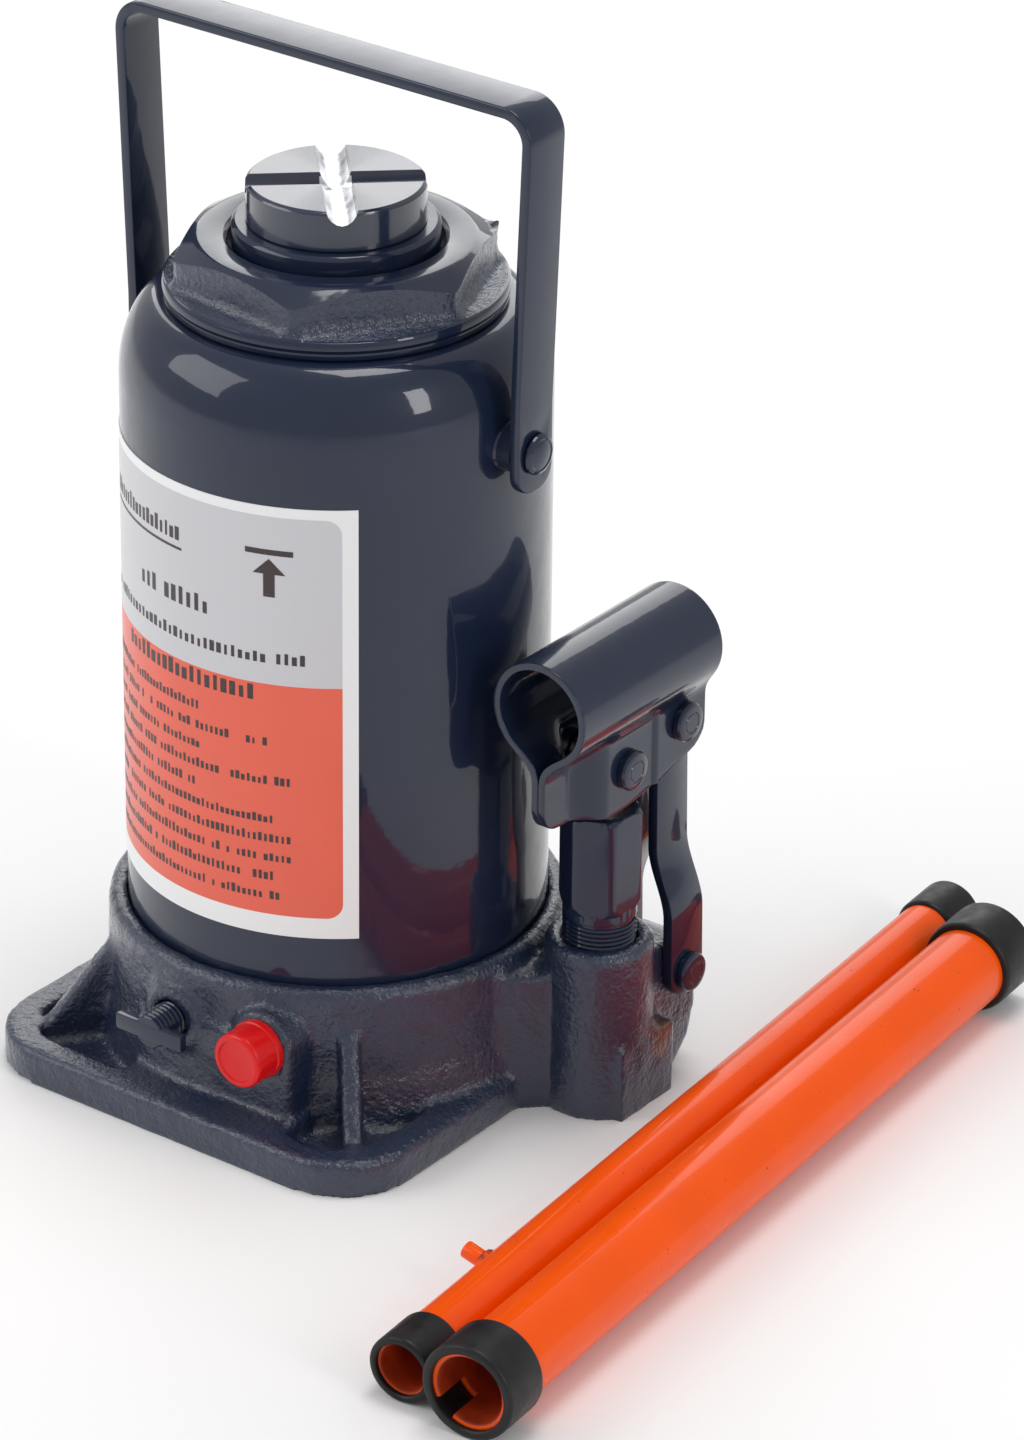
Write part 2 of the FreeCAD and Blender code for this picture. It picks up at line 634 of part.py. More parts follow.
def lever_socket():
    low = V(PUMP_X, SOCKET_FRONT, SOCKET_Z)
    high = V(PUMP_X, SOCKET_BACK, SOCKET_Z)
    mouth = rod(SOCKET_BORE, low, high)
    slot = box((PUMP_X - EAR_INNER, PUMP_X + EAR_INNER), (3.8, SOCKET_BACK), (80, SOCKET_Z - 5))
    throat = prism([V(PUMP_X - 2, -1, 80), V(PUMP_X + 2, -1, 80), V(PUMP_X + EAR_INNER, 3.8, 80),
                    V(PUMP_X - EAR_INNER, 3.8, 80)], V(0, 0, 36))
    holes = []
    for centre, radius in ((PLUNGER_PIN, PIN_R), (LINK_TOP_PIN, PIN_R + RUNNING)):
        holes.append(rod(radius, V(PUMP_X - 20, *centre), V(PUMP_X + 20, *centre)))
    body = fuse([rod(SOCKET_R, low, high)] + socket_ears())
    return cut(body, [mouth, slot, throat] + holes)


# ------------------------------------------------------------------ bail handle

def bail_handle():
    """Flat strip bent to a bow, legs leaning out a little towards the top."""
    low = BAIL_BOTTOM
    top = BAIL_TOP
    wall = BAIL_THICK
    foot = BAIL_INNER
    head = BAIL_INNER + BAIL_LEAN
    half = BAIL_WIDTH / 2
    knee = BAIL_PIVOT_Z + 12
    outer = [(foot + wall, low), (foot + wall, knee), (head + wall, top), (-head - wall, top),
             (-foot - wall, knee), (-foot - wall, low)]
    inner = [(-foot, low), (-foot, knee), (-head, top - wall), (head, top - wall),
             (foot, knee), (foot, low)]
    bow = prism([V(x, -half, z) for x, z in outer + inner], V(0, BAIL_WIDTH, 0))
    for x, z, radius in ((head + wall, top, 9.0), (head, top - wall, 6.0)):
        corners = [e for e in bow.Edges if abs(abs(e.CenterOfMass.x) - x) < 0.01
                   and abs(e.CenterOfMass.z - z) < 0.01 and e.BoundBox.YLength > half]
        bow = bow.makeFillet(radius, corners)
    feet = [e for e in bow.Edges if abs(e.CenterOfMass.z - low) < 0.01
            and abs(abs(e.CenterOfMass.y) - half) < 0.01]
    bow = bow.makeFillet(6.0, feet)
    return bow.cut(rod(STUD_R + RUNNING, V(-80, 0, BAIL_PIVOT_Z), V(80, 0, BAIL_PIVOT_Z)))


def bail_stud(sign):
    """Shouldered stud welded to the tank, peened over outside the bail."""
    root = 50.0
    seat = STUD_SHOULDER_X - root
    profile = [(0, 0), (STUD_SHOULDER_R, 0), (STUD_SHOULDER_R, seat), (STUD_R, seat), (STUD_R, 13.0),
               (4.6, 13.0), (4.6, 14.2), (3.4, 15.0), (0, 15.2)]
    stud = turned_along(profile, V(sign * root, 0, BAIL_PIVOT_Z), V(sign, 0, 0))
    return stud.cut(post(TANK_R, BAIL_PIVOT_Z - 20, BAIL_PIVOT_Z + 20))



# ----------------------------------------------------------------------- valves

def release_screw():
    length = VALVE_SEAT_Y - RELEASE_FRONT
    thread = grooved(VALVE_SCREW_R, VALVE_SCREW_R - 0.8, 3.6, 18.6, VALVE_PITCH)
    tip = [(3.9, 18.8), (3.9, 19.9), (2.8, 20.2), (2.8, length - 5.95), (0, length - 5.7)]
    start = [(0, 0), (VALVE_SCREW_R - 0.5, 0), (VALVE_SCREW_R, 0.5), (VALVE_SCREW_R, 3.4)]
    screw = turned_along(start + thread + tip, V(RELEASE_X, RELEASE_FRONT, RELEASE_Z), V(0, 1, 0))
    slot = box((RELEASE_X - 10, RELEASE_X + 10), (RELEASE_FRONT - 1, RELEASE_FRONT + 2.5),
               (RELEASE_Z - RELEASE_BAR_HALF, RELEASE_Z + RELEASE_BAR_HALF))
    return screw.cut(slot)


def release_tommy_bar():
    return box((RELEASE_X - 10.8, RELEASE_X + 10.8), (RELEASE_FRONT, RELEASE_FRONT + 2.5),
               (RELEASE_Z - RELEASE_BAR_HALF, RELEASE_Z + RELEASE_BAR_HALF))


def release_seal():
    """O-ring on the screw's neck, drawn square."""
    y = RELEASE_FRONT + 18.8
    outer = rod(VALVE_SCREW_R + 0.2, V(RELEASE_X, y, RELEASE_Z), V(RELEASE_X, y + 1.1, RELEASE_Z))
    return outer.cut(rod(3.9, V(RELEASE_X, y, RELEASE_Z), V(RELEASE_X, y + 1.1, RELEASE_Z)))


def seated_ball(radius, hole, x, z):
    """Centre of a ball resting on the front edge of a valve hole."""
    return V(x, VALVE_SEAT_Y - math.sqrt(radius ** 2 - hole ** 2) - AIR, z)


def overload_spring():
    """Coil between the overload ball and its screw."""
    wire = 0.55
    mean = 3.0
    low = -53.2
    height = 5.2
    helix = Part.makeHelix(1.6, height, mean)
    profile = Part.Wire([Part.makeCircle(wire, V(mean, 0, 0), V(0, 1, 0))])
    coil = Part.Wire(helix.Edges).makePipeShell([profile], True, True)
    coil.Placement = FreeCAD.Placement(V(OVERLOAD_X, low, OVERLOAD_Z),
                                       FreeCAD.Rotation(UP, V(0, 1, 0)))
    return coil


def overload_cap():
    """Push-in plastic cap over the overload valve."""
    profile = [(0, 0), (6.9, 0), (7.5, 0.6), (7.5, 9.8), (4.7, 9.8), (4.7, 11.2), (0, 11.2)]
    return turned_along(profile, V(OVERLOAD_X, OVERLOAD_FACE - 9.2, OVERLOAD_Z), V(0, 1, 0))


def overload_screw():
    """Grub screw with a hexagon socket that sets the overload pressure."""
    screw = turned_along([(0, 0), (4.5, 0), (VALVE_SCREW_R, 0.5), (VALVE_SCREW_R, 5.6), (0, 5.6)],
                         V(OVERLOAD_X, -59.4, OVERLOAD_Z), V(0, 1, 0))
    socket = hexagon(4.0, 0, 3.0, 0.0)
    socket.Placement = FreeCAD.Placement(V(OVERLOAD_X, -59.4, OVERLOAD_Z),
                                         FreeCAD.Rotation(UP, V(0, 1, 0)))
    return screw.cut(socket)


# ----------------------------------------------------------------------- levers

def lever_axis():
    turn = math.radians(LEVER_TURN)
    return V(-math.sin(turn), math.cos(turn), 0)


def along(near, distance):
    return near.add(lever_axis().multiply(distance))


def lever_tube(near, length, r_out, r_in):
    ends = (along(near, CAP_LIP), along(near, length - CAP_LIP))
    return rod(r_out, *ends).cut(rod(r_in, *ends))


def thick_lever_tube():
    """Outer tube; a notch in its near end takes the peg of the inner tube."""
    tube = lever_tube(THICK_NEAR, THICK_LENGTH, THICK_R, THICK_BORE)
    notch = box((-THICK_R - 1, 0), (0, NOTCH_DEPTH), (-NOTCH_HALF, NOTCH_HALF))
    notch.rotate(V(0, 0, 0), V(0, 1, 0), NOTCH_TURN)
    notch.rotate(V(0, 0, 0), UP, LEVER_TURN)
    notch.translate(along(THICK_NEAR, CAP_LIP))
    return tube.cut(notch)


def lever_cap(end, inward, r_cap, r_tube, r_mouth):
    """Rubber sleeve with a lip over the tube's end; inward points along the tube."""
    profile = [(r_mouth, 0), (r_cap - 0.8, 0), (r_cap, 0.8), (r_cap, CAP_LENGTH), (r_tube, CAP_LENGTH),
               (r_tube, CAP_LIP), (r_mouth, CAP_LIP)]
    return turned_along(profile, end, inward)


def lever_peg():
    """Short peg welded to the side of the inner tube."""
    start = along(THIN_NEAR, PEG_FROM_END)
    lift = math.radians(PEG_RISE)
    out = V(-math.cos(lift), -math.sin(math.radians(LEVER_TURN)) * math.cos(lift), math.sin(lift))
    peg = rod(PEG_R, start, start.add(V(out).multiply(THIN_R + PEG_LENGTH)))
    return peg.cut(rod(THIN_R, along(THIN_NEAR, PEG_FROM_END - 10), along(THIN_NEAR, PEG_FROM_END + 10)))


def build():
    """All nodes of the jack by name."""
    half_ear = EAR_INNER + EAR_THICK
    release_ball = seated_ball(3.0, 1.3, RELEASE_X, RELEASE_Z)
    overload_ball = seated_ball(2.5, 1.3, OVERLOAD_X, OVERLOAD_Z)
    suction_z = SUCTION_SEAT_Z + math.sqrt(SUCTION_BALL_R ** 2 - 4.0) + AIR
    delivery_z = DELIVERY_SEAT_Z + math.sqrt(DELIVERY_BALL_R ** 2 - PORT_R ** 2) + AIR
    inward = lever_axis()
    outward = V(inward).multiply(-1)
    caps = {
        "thick": (THICK_NEAR, THICK_LENGTH, THICK_CAP_R, THICK_R, THICK_MOUTH_R),
        "thin": (THIN_NEAR, THIN_LENGTH, THIN_CAP_R, THIN_R, THIN_MOUTH_R),
    }
    nodes = {
        "base_casting": base_casting(),
        "tank_bottom_seal": ring(TANK_R - TANK_WALL - 0.6, TANK_R, BEARING_TOP, TANK_BOTTOM),
        "tank_shell": tank_shell(),
        "tank_top_seal": ring(NUT_SKIRT_R - NECK_SEAL_DEPTH, NECK_R, *NECK_SEAL_Z),
        "cylinder_gasket": ring(CYLINDER_BORE, CYLINDER_R, CYLINDER_SEAT,
                                CYLINDER_SEAT + GASKET_THICK),
        "pressure_cylinder": pressure_cylinder(),
        "top_nut": top_nut(),
        "ram_guide_ring": ring(RAM_R + RUNNING, CYLINDER_BORE, CYLINDER_TOP - 5.0, WIPER_BOTTOM),
        "ram_wiper_seal": ring(RAM_R + RUNNING, CYLINDER_BORE, WIPER_BOTTOM, WIPER_TOP),
        "oil_filler_plug": oil_filler_plug(),
        "data_label": data_label(),
        "bail_studs": Part.makeCompound([bail_stud(-1), bail_stud(1)]),
        "ram": ram(),
        "piston_seal": piston_seal(),
        "piston_guide_ring": ring(27.5, CYLINDER_BORE - RUNNING, 30.0, 36.0),
        "seal_retaining_ring": ring(25.0, 28.4, 16.6, 18.6),
        "screw_stop_ring": screw_stop_ring(),
        "extension_screw": extension_screw(),
        "pump_barrel": pump_barrel(),
        "barrel_washer": ring(6.6, 9.4, BARREL_BOTTOM - GASKET_THICK, BARREL_BOTTOM, PUMP_X, PUMP_Y),
        "plunger_gland_seal": ring(PLUNGER_R + RUNNING, 8.2, BARREL_TOP - 4.0, BARREL_TOP - 0.6,
                                   PUMP_X, PUMP_Y),
        "pump_plunger": pump_plunger(),
        "plunger_cup_seal": ring(4.6, PLUNGER_R + RUNNING / 2, 32.0, 35.0, PUMP_X, PUMP_Y),
        "suction_ball": Part.makeSphere(SUCTION_BALL_R, V(PUMP_X, PUMP_Y, suction_z)),
        "suction_strainer": ring(2.6, 4.2, RESERVOIR_FLOOR, RESERVOIR_FLOOR + 5, *SUCTION_WELL),
        "delivery_ball": Part.makeSphere(DELIVERY_BALL_R, V(*DELIVERY_WELL, delivery_z)),
        "delivery_valve_cage": ring(1.4, 5.6, CYLINDER_SEAT, CYLINDER_SEAT + 1.4, *DELIVERY_WELL),
        "plunger_pin": headed_pin(PLUNGER_PIN, half_ear),
        "lever_socket": lever_socket(),
        "link_plate_left": link_plate(-1),
        "link_plate_right": link_plate(1),
        "link_top_pin": headed_pin(LINK_TOP_PIN, half_ear + 0.15),
        "link_base_pin": headed_pin(LINK_BASE_PIN, LINK_INNER + LINK_JOG + LINK_THICK + 0.15),
        "bail_handle": bail_handle(),
        "release_screw": release_screw(),
        "release_tommy_bar": release_tommy_bar(),
        "release_seal": release_seal(),
        "release_ball": Part.makeSphere(3.0, release_ball),
        "overload_ball": Part.makeSphere(2.5, overload_ball),
        "overload_spring": overload_spring(),
        "overload_screw": overload_screw(),
        "overload_cap": overload_cap(),
        "thick_lever_tube": thick_lever_tube(),
        "thin_lever_tube": lever_tube(THIN_NEAR, THIN_LENGTH, THIN_R, THIN_BORE),
        "lever_peg": lever_peg(),
    }
    for name, (near, length, r_cap, r_tube, r_mouth) in caps.items():
        nodes[name + "_lever_cap_near"] = lever_cap(near, inward, r_cap, r_tube, r_mouth)
        nodes[name + "_lever_cap_far"] = lever_cap(along(near, length), outward, r_cap, r_tube, r_mouth)
    return nodes


os.makedirs("parts", exist_ok=True)
for node, shape in build().items():
    print(node, "solids", len(shape.Solids), "valid", shape.isValid(), "cm3", round(shape.Volume / 1000, 3))
    shape.exportStep("parts/" + node + ".step")
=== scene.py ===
import math

import bmesh
import bpy
from bpy.props import FloatProperty, FloatVectorProperty, IntProperty, PointerProperty
from mathutils import Matrix, Vector, noise


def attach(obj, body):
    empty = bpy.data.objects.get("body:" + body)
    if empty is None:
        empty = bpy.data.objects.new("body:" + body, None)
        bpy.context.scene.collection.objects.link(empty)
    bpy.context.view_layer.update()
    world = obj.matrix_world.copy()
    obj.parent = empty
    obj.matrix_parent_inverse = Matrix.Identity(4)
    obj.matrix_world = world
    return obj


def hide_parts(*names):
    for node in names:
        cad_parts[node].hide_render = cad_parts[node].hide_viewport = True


bl_info = {
    "name": "Bottle Jack",
    "version": (1, 0, 0),
    "blender": (4, 5, 0),
    "location": "View3D > Sidebar > Bottle Jack",
    "description": "Builds the finished pieces of a hydraulic bottle jack around its packed frame",
    "category": "Object",
}

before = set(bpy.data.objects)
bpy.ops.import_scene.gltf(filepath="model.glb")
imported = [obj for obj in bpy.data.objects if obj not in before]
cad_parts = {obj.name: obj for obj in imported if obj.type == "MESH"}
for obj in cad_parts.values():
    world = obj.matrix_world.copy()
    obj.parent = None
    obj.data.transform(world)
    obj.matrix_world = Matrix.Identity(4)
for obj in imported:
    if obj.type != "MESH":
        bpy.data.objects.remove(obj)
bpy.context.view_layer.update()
MM = 0.001

# Places shared by several pieces, in millimetres
TANK_R = 55.0
PUMP = Vector((75.6, 12.5, 0.0))
SOCKET_Z = 121.4
PLUNGER_PIN = (12.5, 98.0)
LINK_TOP_PIN = (35.0, 103.0)
LINK_BASE_PIN = (36.5, 30.0)
RELEASE = Vector((-5.7, -71.5, 27.5))
OVERLOAD = Vector((22.6, -70.7, 28.5))
LEVER_TURN = math.radians(4.73)
LEVER_AXIS = Vector((-math.sin(LEVER_TURN), math.cos(LEVER_TURN), 0.0))
THICK_NEAR = Vector((147.4, -137.9, 12.8))
THIN_NEAR = Vector((125.2, -135.1, 9.0))
BAIL_PIVOT_Z = 184.5

# Edges sharper than this many degrees are rounded; the cross bar's rounding is in metres
SHARP_EDGE = 40.0
BAR_EDGE = 0.0004


# ------------------------------------------------------------------ settings

def colour_setting(name, description, default):
    """Setting that holds one colour."""
    return FloatVectorProperty(name=name, description=description, default=default, subtype="COLOR",
                               min=0.0, max=1.0)


def length_setting(name, description, default, low, high):
    """Setting that holds one length in metres."""
    return FloatProperty(name=name, description=description, default=default, min=low, max=high,
                         unit="LENGTH", precision=5)


class JackFinishes(bpy.types.PropertyGroup):
    """Colours of the painted, moulded and printed surfaces."""

    paint: colour_setting(
        "Jack paint", "Blue-grey enamel on the jack",
        (0.0098, 0.0172, 0.0430))
    lever_paint: colour_setting(
        "Lever paint", "Orange enamel on the lever tubes",
        (0.98, 0.098, 0.0))
    rubber: colour_setting(
        "Rubber", "Black rubber of the lever caps and the filler plug",
        (0.0075, 0.0075, 0.0085))
    red_cap: colour_setting(
        "Valve cap", "Red plastic over the overload valve",
        (0.76, 0.003, 0.004))
    label_grey: colour_setting(
        "Label, upper field", "Light grey field of the label",
        (0.60, 0.60, 0.63))
    label_red: colour_setting(
        "Label, lower field", "Orange-red field of the label",
        (0.84, 0.115, 0.060))


class JackSizes(bpy.types.PropertyGroup):
    """Sizes of surface detail that a user may change."""

    casting_grain: length_setting(
        "Casting grain", "Height of the lumps on cast faces",
        0.00018, 0.0, 0.001)
    casting_voxel: length_setting(
        "Casting detail", "Size of the cells that round the casting's edges",
        0.00112, 0.0008, 0.004)
    edge_round: length_setting(
        "Edge rounding", "Rounding of the bail's sheared edges",
        0.0006, 0.0, 0.002)
    barrel_pitch: length_setting(
        "Barrel thread pitch", "Rise of the pump barrel's thread in one turn",
        0.00125, 0.0005, 0.004)
    screw_pitch: length_setting(
        "Extension screw pitch", "Rise of the extension screw in one turn",
        0.006, 0.002, 0.01)
    text_rows: IntProperty(
        name="Label rows", description="Rows of plain strokes in the label's lower field",
        default=10, min=1, max=16)


def finishes():
    return bpy.context.scene.jack_finishes


def sizes():
    return bpy.context.scene.jack_sizes


# ------------------------------------------------------------------ materials

def add(tree, kind, inputs=None, **settings):
    """One node with its settings; an input is a value or the socket that feeds it."""
    made = tree.nodes.new(kind)
    for key, value in settings.items():
        setattr(made, key, value)
    for key, value in (inputs or {}).items():
        if isinstance(value, bpy.types.NodeSocket):
            tree.links.new(value, made.inputs[key])
        else:
            made.inputs[key].default_value = value
    return made


def new_finish(name, roughness, metallic=0.0, coat=0.0, coat_roughness=0.05, specular=0.5):
    """Material with its shader and the object's own coordinates."""
    material = bpy.data.materials.new("jack_" + name)
    material.use_nodes = True
    tree = material.node_tree
    shader = tree.nodes["Principled BSDF"]
    shader.inputs["Roughness"].default_value = roughness
    shader.inputs["Metallic"].default_value = metallic
    shader.inputs["Coat Weight"].default_value = coat
    shader.inputs["Coat Roughness"].default_value = coat_roughness
    shader.inputs["Specular IOR Level"].default_value = specular
    place = add(tree, "ShaderNodeTexCoord").outputs["Object"]
    return material, tree, shader, place


def feed(shader, key, value):
    """Joins a socket to one of the shader's inputs."""
    shader.id_data.links.new(value, shader.inputs[key])


def grain(tree, place, size, detail=2.0, roughness=0.5):
    """Noise whose lumps are about size metres across."""
    return add(tree, "ShaderNodeTexNoise", {
        "Vector": place, "Scale": 1.0 / size, "Detail": detail, "Roughness": roughness,
    }).outputs["Fac"]


def remap(tree, value, low, high, from_low=0.3, from_high=0.7):
    """Value moved from one range to another and held inside it."""
    return add(tree, "ShaderNodeMapRange", {
        "Value": value, "From Min": from_low, "From Max": from_high, "To Min": low, "To Max": high,
    }).outputs["Result"]


def blend(tree, factor, first, second):
    """Mix of two colours."""
    mix = add(tree, "ShaderNodeMix", data_type="RGBA")
    sockets = {"Factor": mix.inputs[0], "A": mix.inputs[6], "B": mix.inputs[7]}
    for key, value in (("Factor", factor), ("A", first), ("B", second)):
        if isinstance(value, bpy.types.NodeSocket):
            tree.links.new(value, sockets[key])
        elif key == "Factor":
            sockets[key].default_value = value
        else:
            sockets[key].default_value = (*value[:3], 1.0)
    return mix.outputs[2]


def bump(tree, shader, height, depth, below=None):
    """Relief of depth metres; below is a relief that it lies on."""
    inputs = {"Height": height, "Distance": depth, "Strength": 1.0}
    if below is not None:
        inputs["Normal"] = below
    made = add(tree, "ShaderNodeBump", inputs)
    feed(shader, "Normal", made.outputs["Normal"])
    return made.outputs["Normal"]


def shade(colour, factor):
    """Colour made darker or brighter."""
    return tuple(min(1.0, c * factor) for c in colour)


def gloss_paint():
    """Wet-looking enamel with a faint orange peel and a little dust."""
    colour = tuple(finishes().paint)
    material, tree, shader, place = new_finish("gloss_paint", 0.34, coat=0.9, coat_roughness=0.05,
                                               specular=0.12)
    drift = grain(tree, place, 0.022, 3.0)
    tint = blend(tree, remap(tree, drift, 0.0, 1.0), shade(colour, 0.93), shade(colour, 1.08))
    dust = remap(tree, grain(tree, place, 0.0009, 1.0), 0.0, 0.30, 0.70, 0.80)
    feed(shader, "Base Color", blend(tree, dust, tint, shade(colour, 2.2)))
    feed(shader, "Roughness", remap(tree, grain(tree, place, 0.009), 0.28, 0.40))
    peel = bump(tree, shader, grain(tree, place, 0.0042, 1.0), 0.00003)
    bump(tree, shader, grain(tree, place, 0.0013, 1.0), 0.000006, peel)
    feed(shader, "Coat Normal", peel)
    return material


def cast_paint():
    """Enamel over rough iron: pits, lumps, a rust stain by the pump's foot, and painted sheen that makes it
    lighter than the tank's enamel.
    """
    colour = tuple(finishes().paint)
    material, tree, shader, place = new_finish("cast_paint", 0.36, coat=1.0, coat_roughness=0.10,
                                               specular=0.35)
    drift = grain(tree, place, 0.014, 4.0, 0.6)
    # Tone drifts at random. The whole range is also lifted above the tank's enamel as painted sheen, standing
    # in for the glint on the rough cast faces.
    tint = blend(tree, remap(tree, drift, 0.0, 1.0), shade(colour, 1.05), shade(colour, 1.50))
    middle = add(tree, "ShaderNodeVectorMath", {0: place, 1: (0.0885, 0.0225, 0.0175)},
                 operation="DISTANCE").outputs["Value"]
    ragged = add(tree, "ShaderNodeMath", {0: grain(tree, place, 0.004, 4.0), 1: 0.011},
                 operation="MULTIPLY").outputs["Value"]
    reach = add(tree, "ShaderNodeMath", {0: middle, 1: ragged}, operation="ADD").outputs["Value"]
    stain = remap(tree, reach, 0.85, 0.0, 0.0085, 0.0125)
    feed(shader, "Base Color", blend(tree, stain, tint, (0.115, 0.050, 0.026)))
    feed(shader, "Roughness", remap(tree, grain(tree, place, 0.006, 3.0), 0.30, 0.46))
    lumps = bump(tree, shader, grain(tree, place, 0.0046, 2.0), 0.00045)
    pits = bump(tree, shader, grain(tree, place, 0.0013, 3.0, 0.6), 0.00045, lumps)
    feed(shader, "Coat Normal", pits)
    return material


def saddle_paint():
    """Enamel sprayed over turned steel: fine rings show through."""
    colour = tuple(finishes().paint)
    material, tree, shader, place = new_finish("saddle_paint", 0.26, coat=1.0, coat_roughness=0.06)
    flat = add(tree, "ShaderNodeVectorMath", {0: place, 1: (1.0, 1.0, 0.0)},
               operation="MULTIPLY").outputs["Vector"]
    radius = add(tree, "ShaderNodeVectorMath", {0: flat}, operation="LENGTH").outputs["Value"]
    rings = add(tree, "ShaderNodeMath", {0: radius, 1: 2 * math.pi / 0.00042},
                operation="MULTIPLY").outputs["Value"]
    rings = add(tree, "ShaderNodeMath", {0: rings}, operation="SINE").outputs["Value"]
    drift = remap(tree, grain(tree, place, 0.012, 3.0), 0.0, 1.0)
    tint = blend(tree, drift, shade(colour, 0.95), shade(colour, 1.25))
    feed(shader, "Base Color", tint)
    turned = bump(tree, shader, rings, 0.000010)
    peel = bump(tree, shader, grain(tree, place, 0.0035, 1.0), 0.00002, turned)
    feed(shader, "Coat Normal", peel)
    return material


def bare_groove():
    """Milled steel that the spray only dusted."""
    material, tree, shader, place = new_finish("bare_groove", 0.34, metallic=1.0)
    spray = remap(tree, grain(tree, place, 0.0032, 4.0), 0.0, 0.8, 0.52, 0.72)
    feed(shader, "Base Color", blend(tree, spray, (0.82, 0.83, 0.85), (0.20, 0.22, 0.26)))
    marks = add(tree, "ShaderNodeTexWave", {"Vector": place, "Scale": 110.0, "Distortion": 2.0,
                                            "Detail": 2.0}, bands_direction="DIAGONAL").outputs["Fac"]
    bump(tree, shader, marks, 0.00003)
    return material


def lever_enamel():
    """Bright orange enamel with a faint peel, small runs and rubbed specks."""
    colour = tuple(finishes().lever_paint)
    material, tree, shader, place = new_finish("orange_enamel", 0.30, coat=0.28, coat_roughness=0.05,
                                               specular=0.12)
    drift = remap(tree, grain(tree, place, 0.025, 3.0), 0.0, 1.0)
    tint = blend(tree, drift, shade(colour, 0.92), colour)
    speck = remap(tree, grain(tree, place, 0.0016, 2.0), 0.0, 0.9, 0.745, 0.775)
    feed(shader, "Base Color", blend(tree, speck, tint, (0.20, 0.030, 0.006)))
    feed(shader, "Roughness", remap(tree, grain(tree, place, 0.011), 0.26, 0.38))
    along = add(tree, "ShaderNodeMapping", {"Vector": place, "Scale": (1.0, 0.12, 1.0)}).outputs["Vector"]
    runs = bump(tree, shader, grain(tree, along, 0.0050, 1.0), 0.00002)
    feed(shader, "Coat Normal", runs)
    return material


def tube_inside():
    """Thin overspray inside the tubes, going to mill scale."""
    material, tree, shader, place = new_finish("tube_inside", 0.55)
    spray = remap(tree, grain(tree, place, 0.007, 4.0), 0.0, 1.0)
    tint = blend(tree, spray, (0.52, 0.050, 0.004), (0.27, 0.024, 0.004))
    feed(shader, "Base Color", tint)
    bump(tree, shader, grain(tree, place, 0.0012, 3.0), 0.00005)
    return material


def weld_burn():
    """Darkened paint where the peg is welded on."""
    material, tree, shader, place = new_finish("weld_burn", 0.5)
    patch = remap(tree, grain(tree, place, 0.0016, 3.0), 0.0, 1.0, 0.40, 0.60)
    feed(shader, "Base Color", blend(tree, patch, (0.85, 0.080, 0.002), (0.13, 0.020, 0.006)))
    bump(tree, shader, grain(tree, place, 0.0009, 3.0), 0.00015)
    return material


def black_rubber():
    """Moulded rubber: satin, with fine mould texture and rubbed edges."""
    colour = tuple(finishes().rubber)
    material, tree, shader, place = new_finish("black_rubber", 0.42, specular=0.3)
    rub = remap(tree, grain(tree, place, 0.006, 4.0), 0.0, 1.0)
    feed(shader, "Base Color", blend(tree, rub, colour, shade(colour, 2.0)))
    feed(shader, "Roughness", remap(tree, grain(tree, place, 0.0030, 3.0), 0.34, 0.52))
    soft = bump(tree, shader, grain(tree, place, 0.0040, 2.0), 0.00006)
    bump(tree, shader, grain(tree, place, 0.0006, 2.0), 0.00002, soft)
    return material


def red_plastic():
    """Soft shiny plastic of the push-in cap."""
    colour = tuple(finishes().red_cap)
    material, tree, shader, place = new_finish("red_plastic", 0.34, coat=0.2, coat_roughness=0.12,
                                               specular=0.3)
    shader.inputs["Subsurface Weight"].default_value = 0.12
    shader.inputs["Subsurface Radius"].default_value = (0.002, 0.0005, 0.0005)
    drift = remap(tree, grain(tree, place, 0.005, 3.0), 0.0, 1.0)
    feed(shader, "Base Color", blend(tree, drift, shade(colour, 0.9), colour))
    bump(tree, shader, grain(tree, place, 0.0013, 2.0), 0.00003)
    return material


def metal(name, colour, roughness, stroke=(1.0, 1.0, 12.0)):
    """Bare metal with drawn or turned marks."""
    material, tree, shader, place = new_finish(name, roughness, metallic=1.0)
    drift = remap(tree, grain(tree, place, 0.010, 4.0), 0.0, 1.0)
    feed(shader, "Base Color", blend(tree, drift, shade(colour, 0.86), colour))
    along = add(tree, "ShaderNodeMapping", {"Vector": place, "Scale": stroke}).outputs["Vector"]
    marks = grain(tree, along, 0.0016, 3.0, 0.6)
    feed(shader, "Roughness", remap(tree, marks, roughness * 0.8, roughness * 1.35))
    bump(tree, shader, marks, 0.000012)
    return material


def seal_rubber():
    """Oily black rubber of the inner seals."""
    material, tree, shader, place = new_finish("seal_rubber", 0.48)
    drift = remap(tree, grain(tree, place, 0.004, 3.0), 0.0, 1.0)
    feed(shader, "Base Color", blend(tree, drift, (0.004, 0.004, 0.004), (0.010, 0.009, 0.009)))
    bump(tree, shader, grain(tree, place, 0.0010, 2.0), 0.00002)
    return material


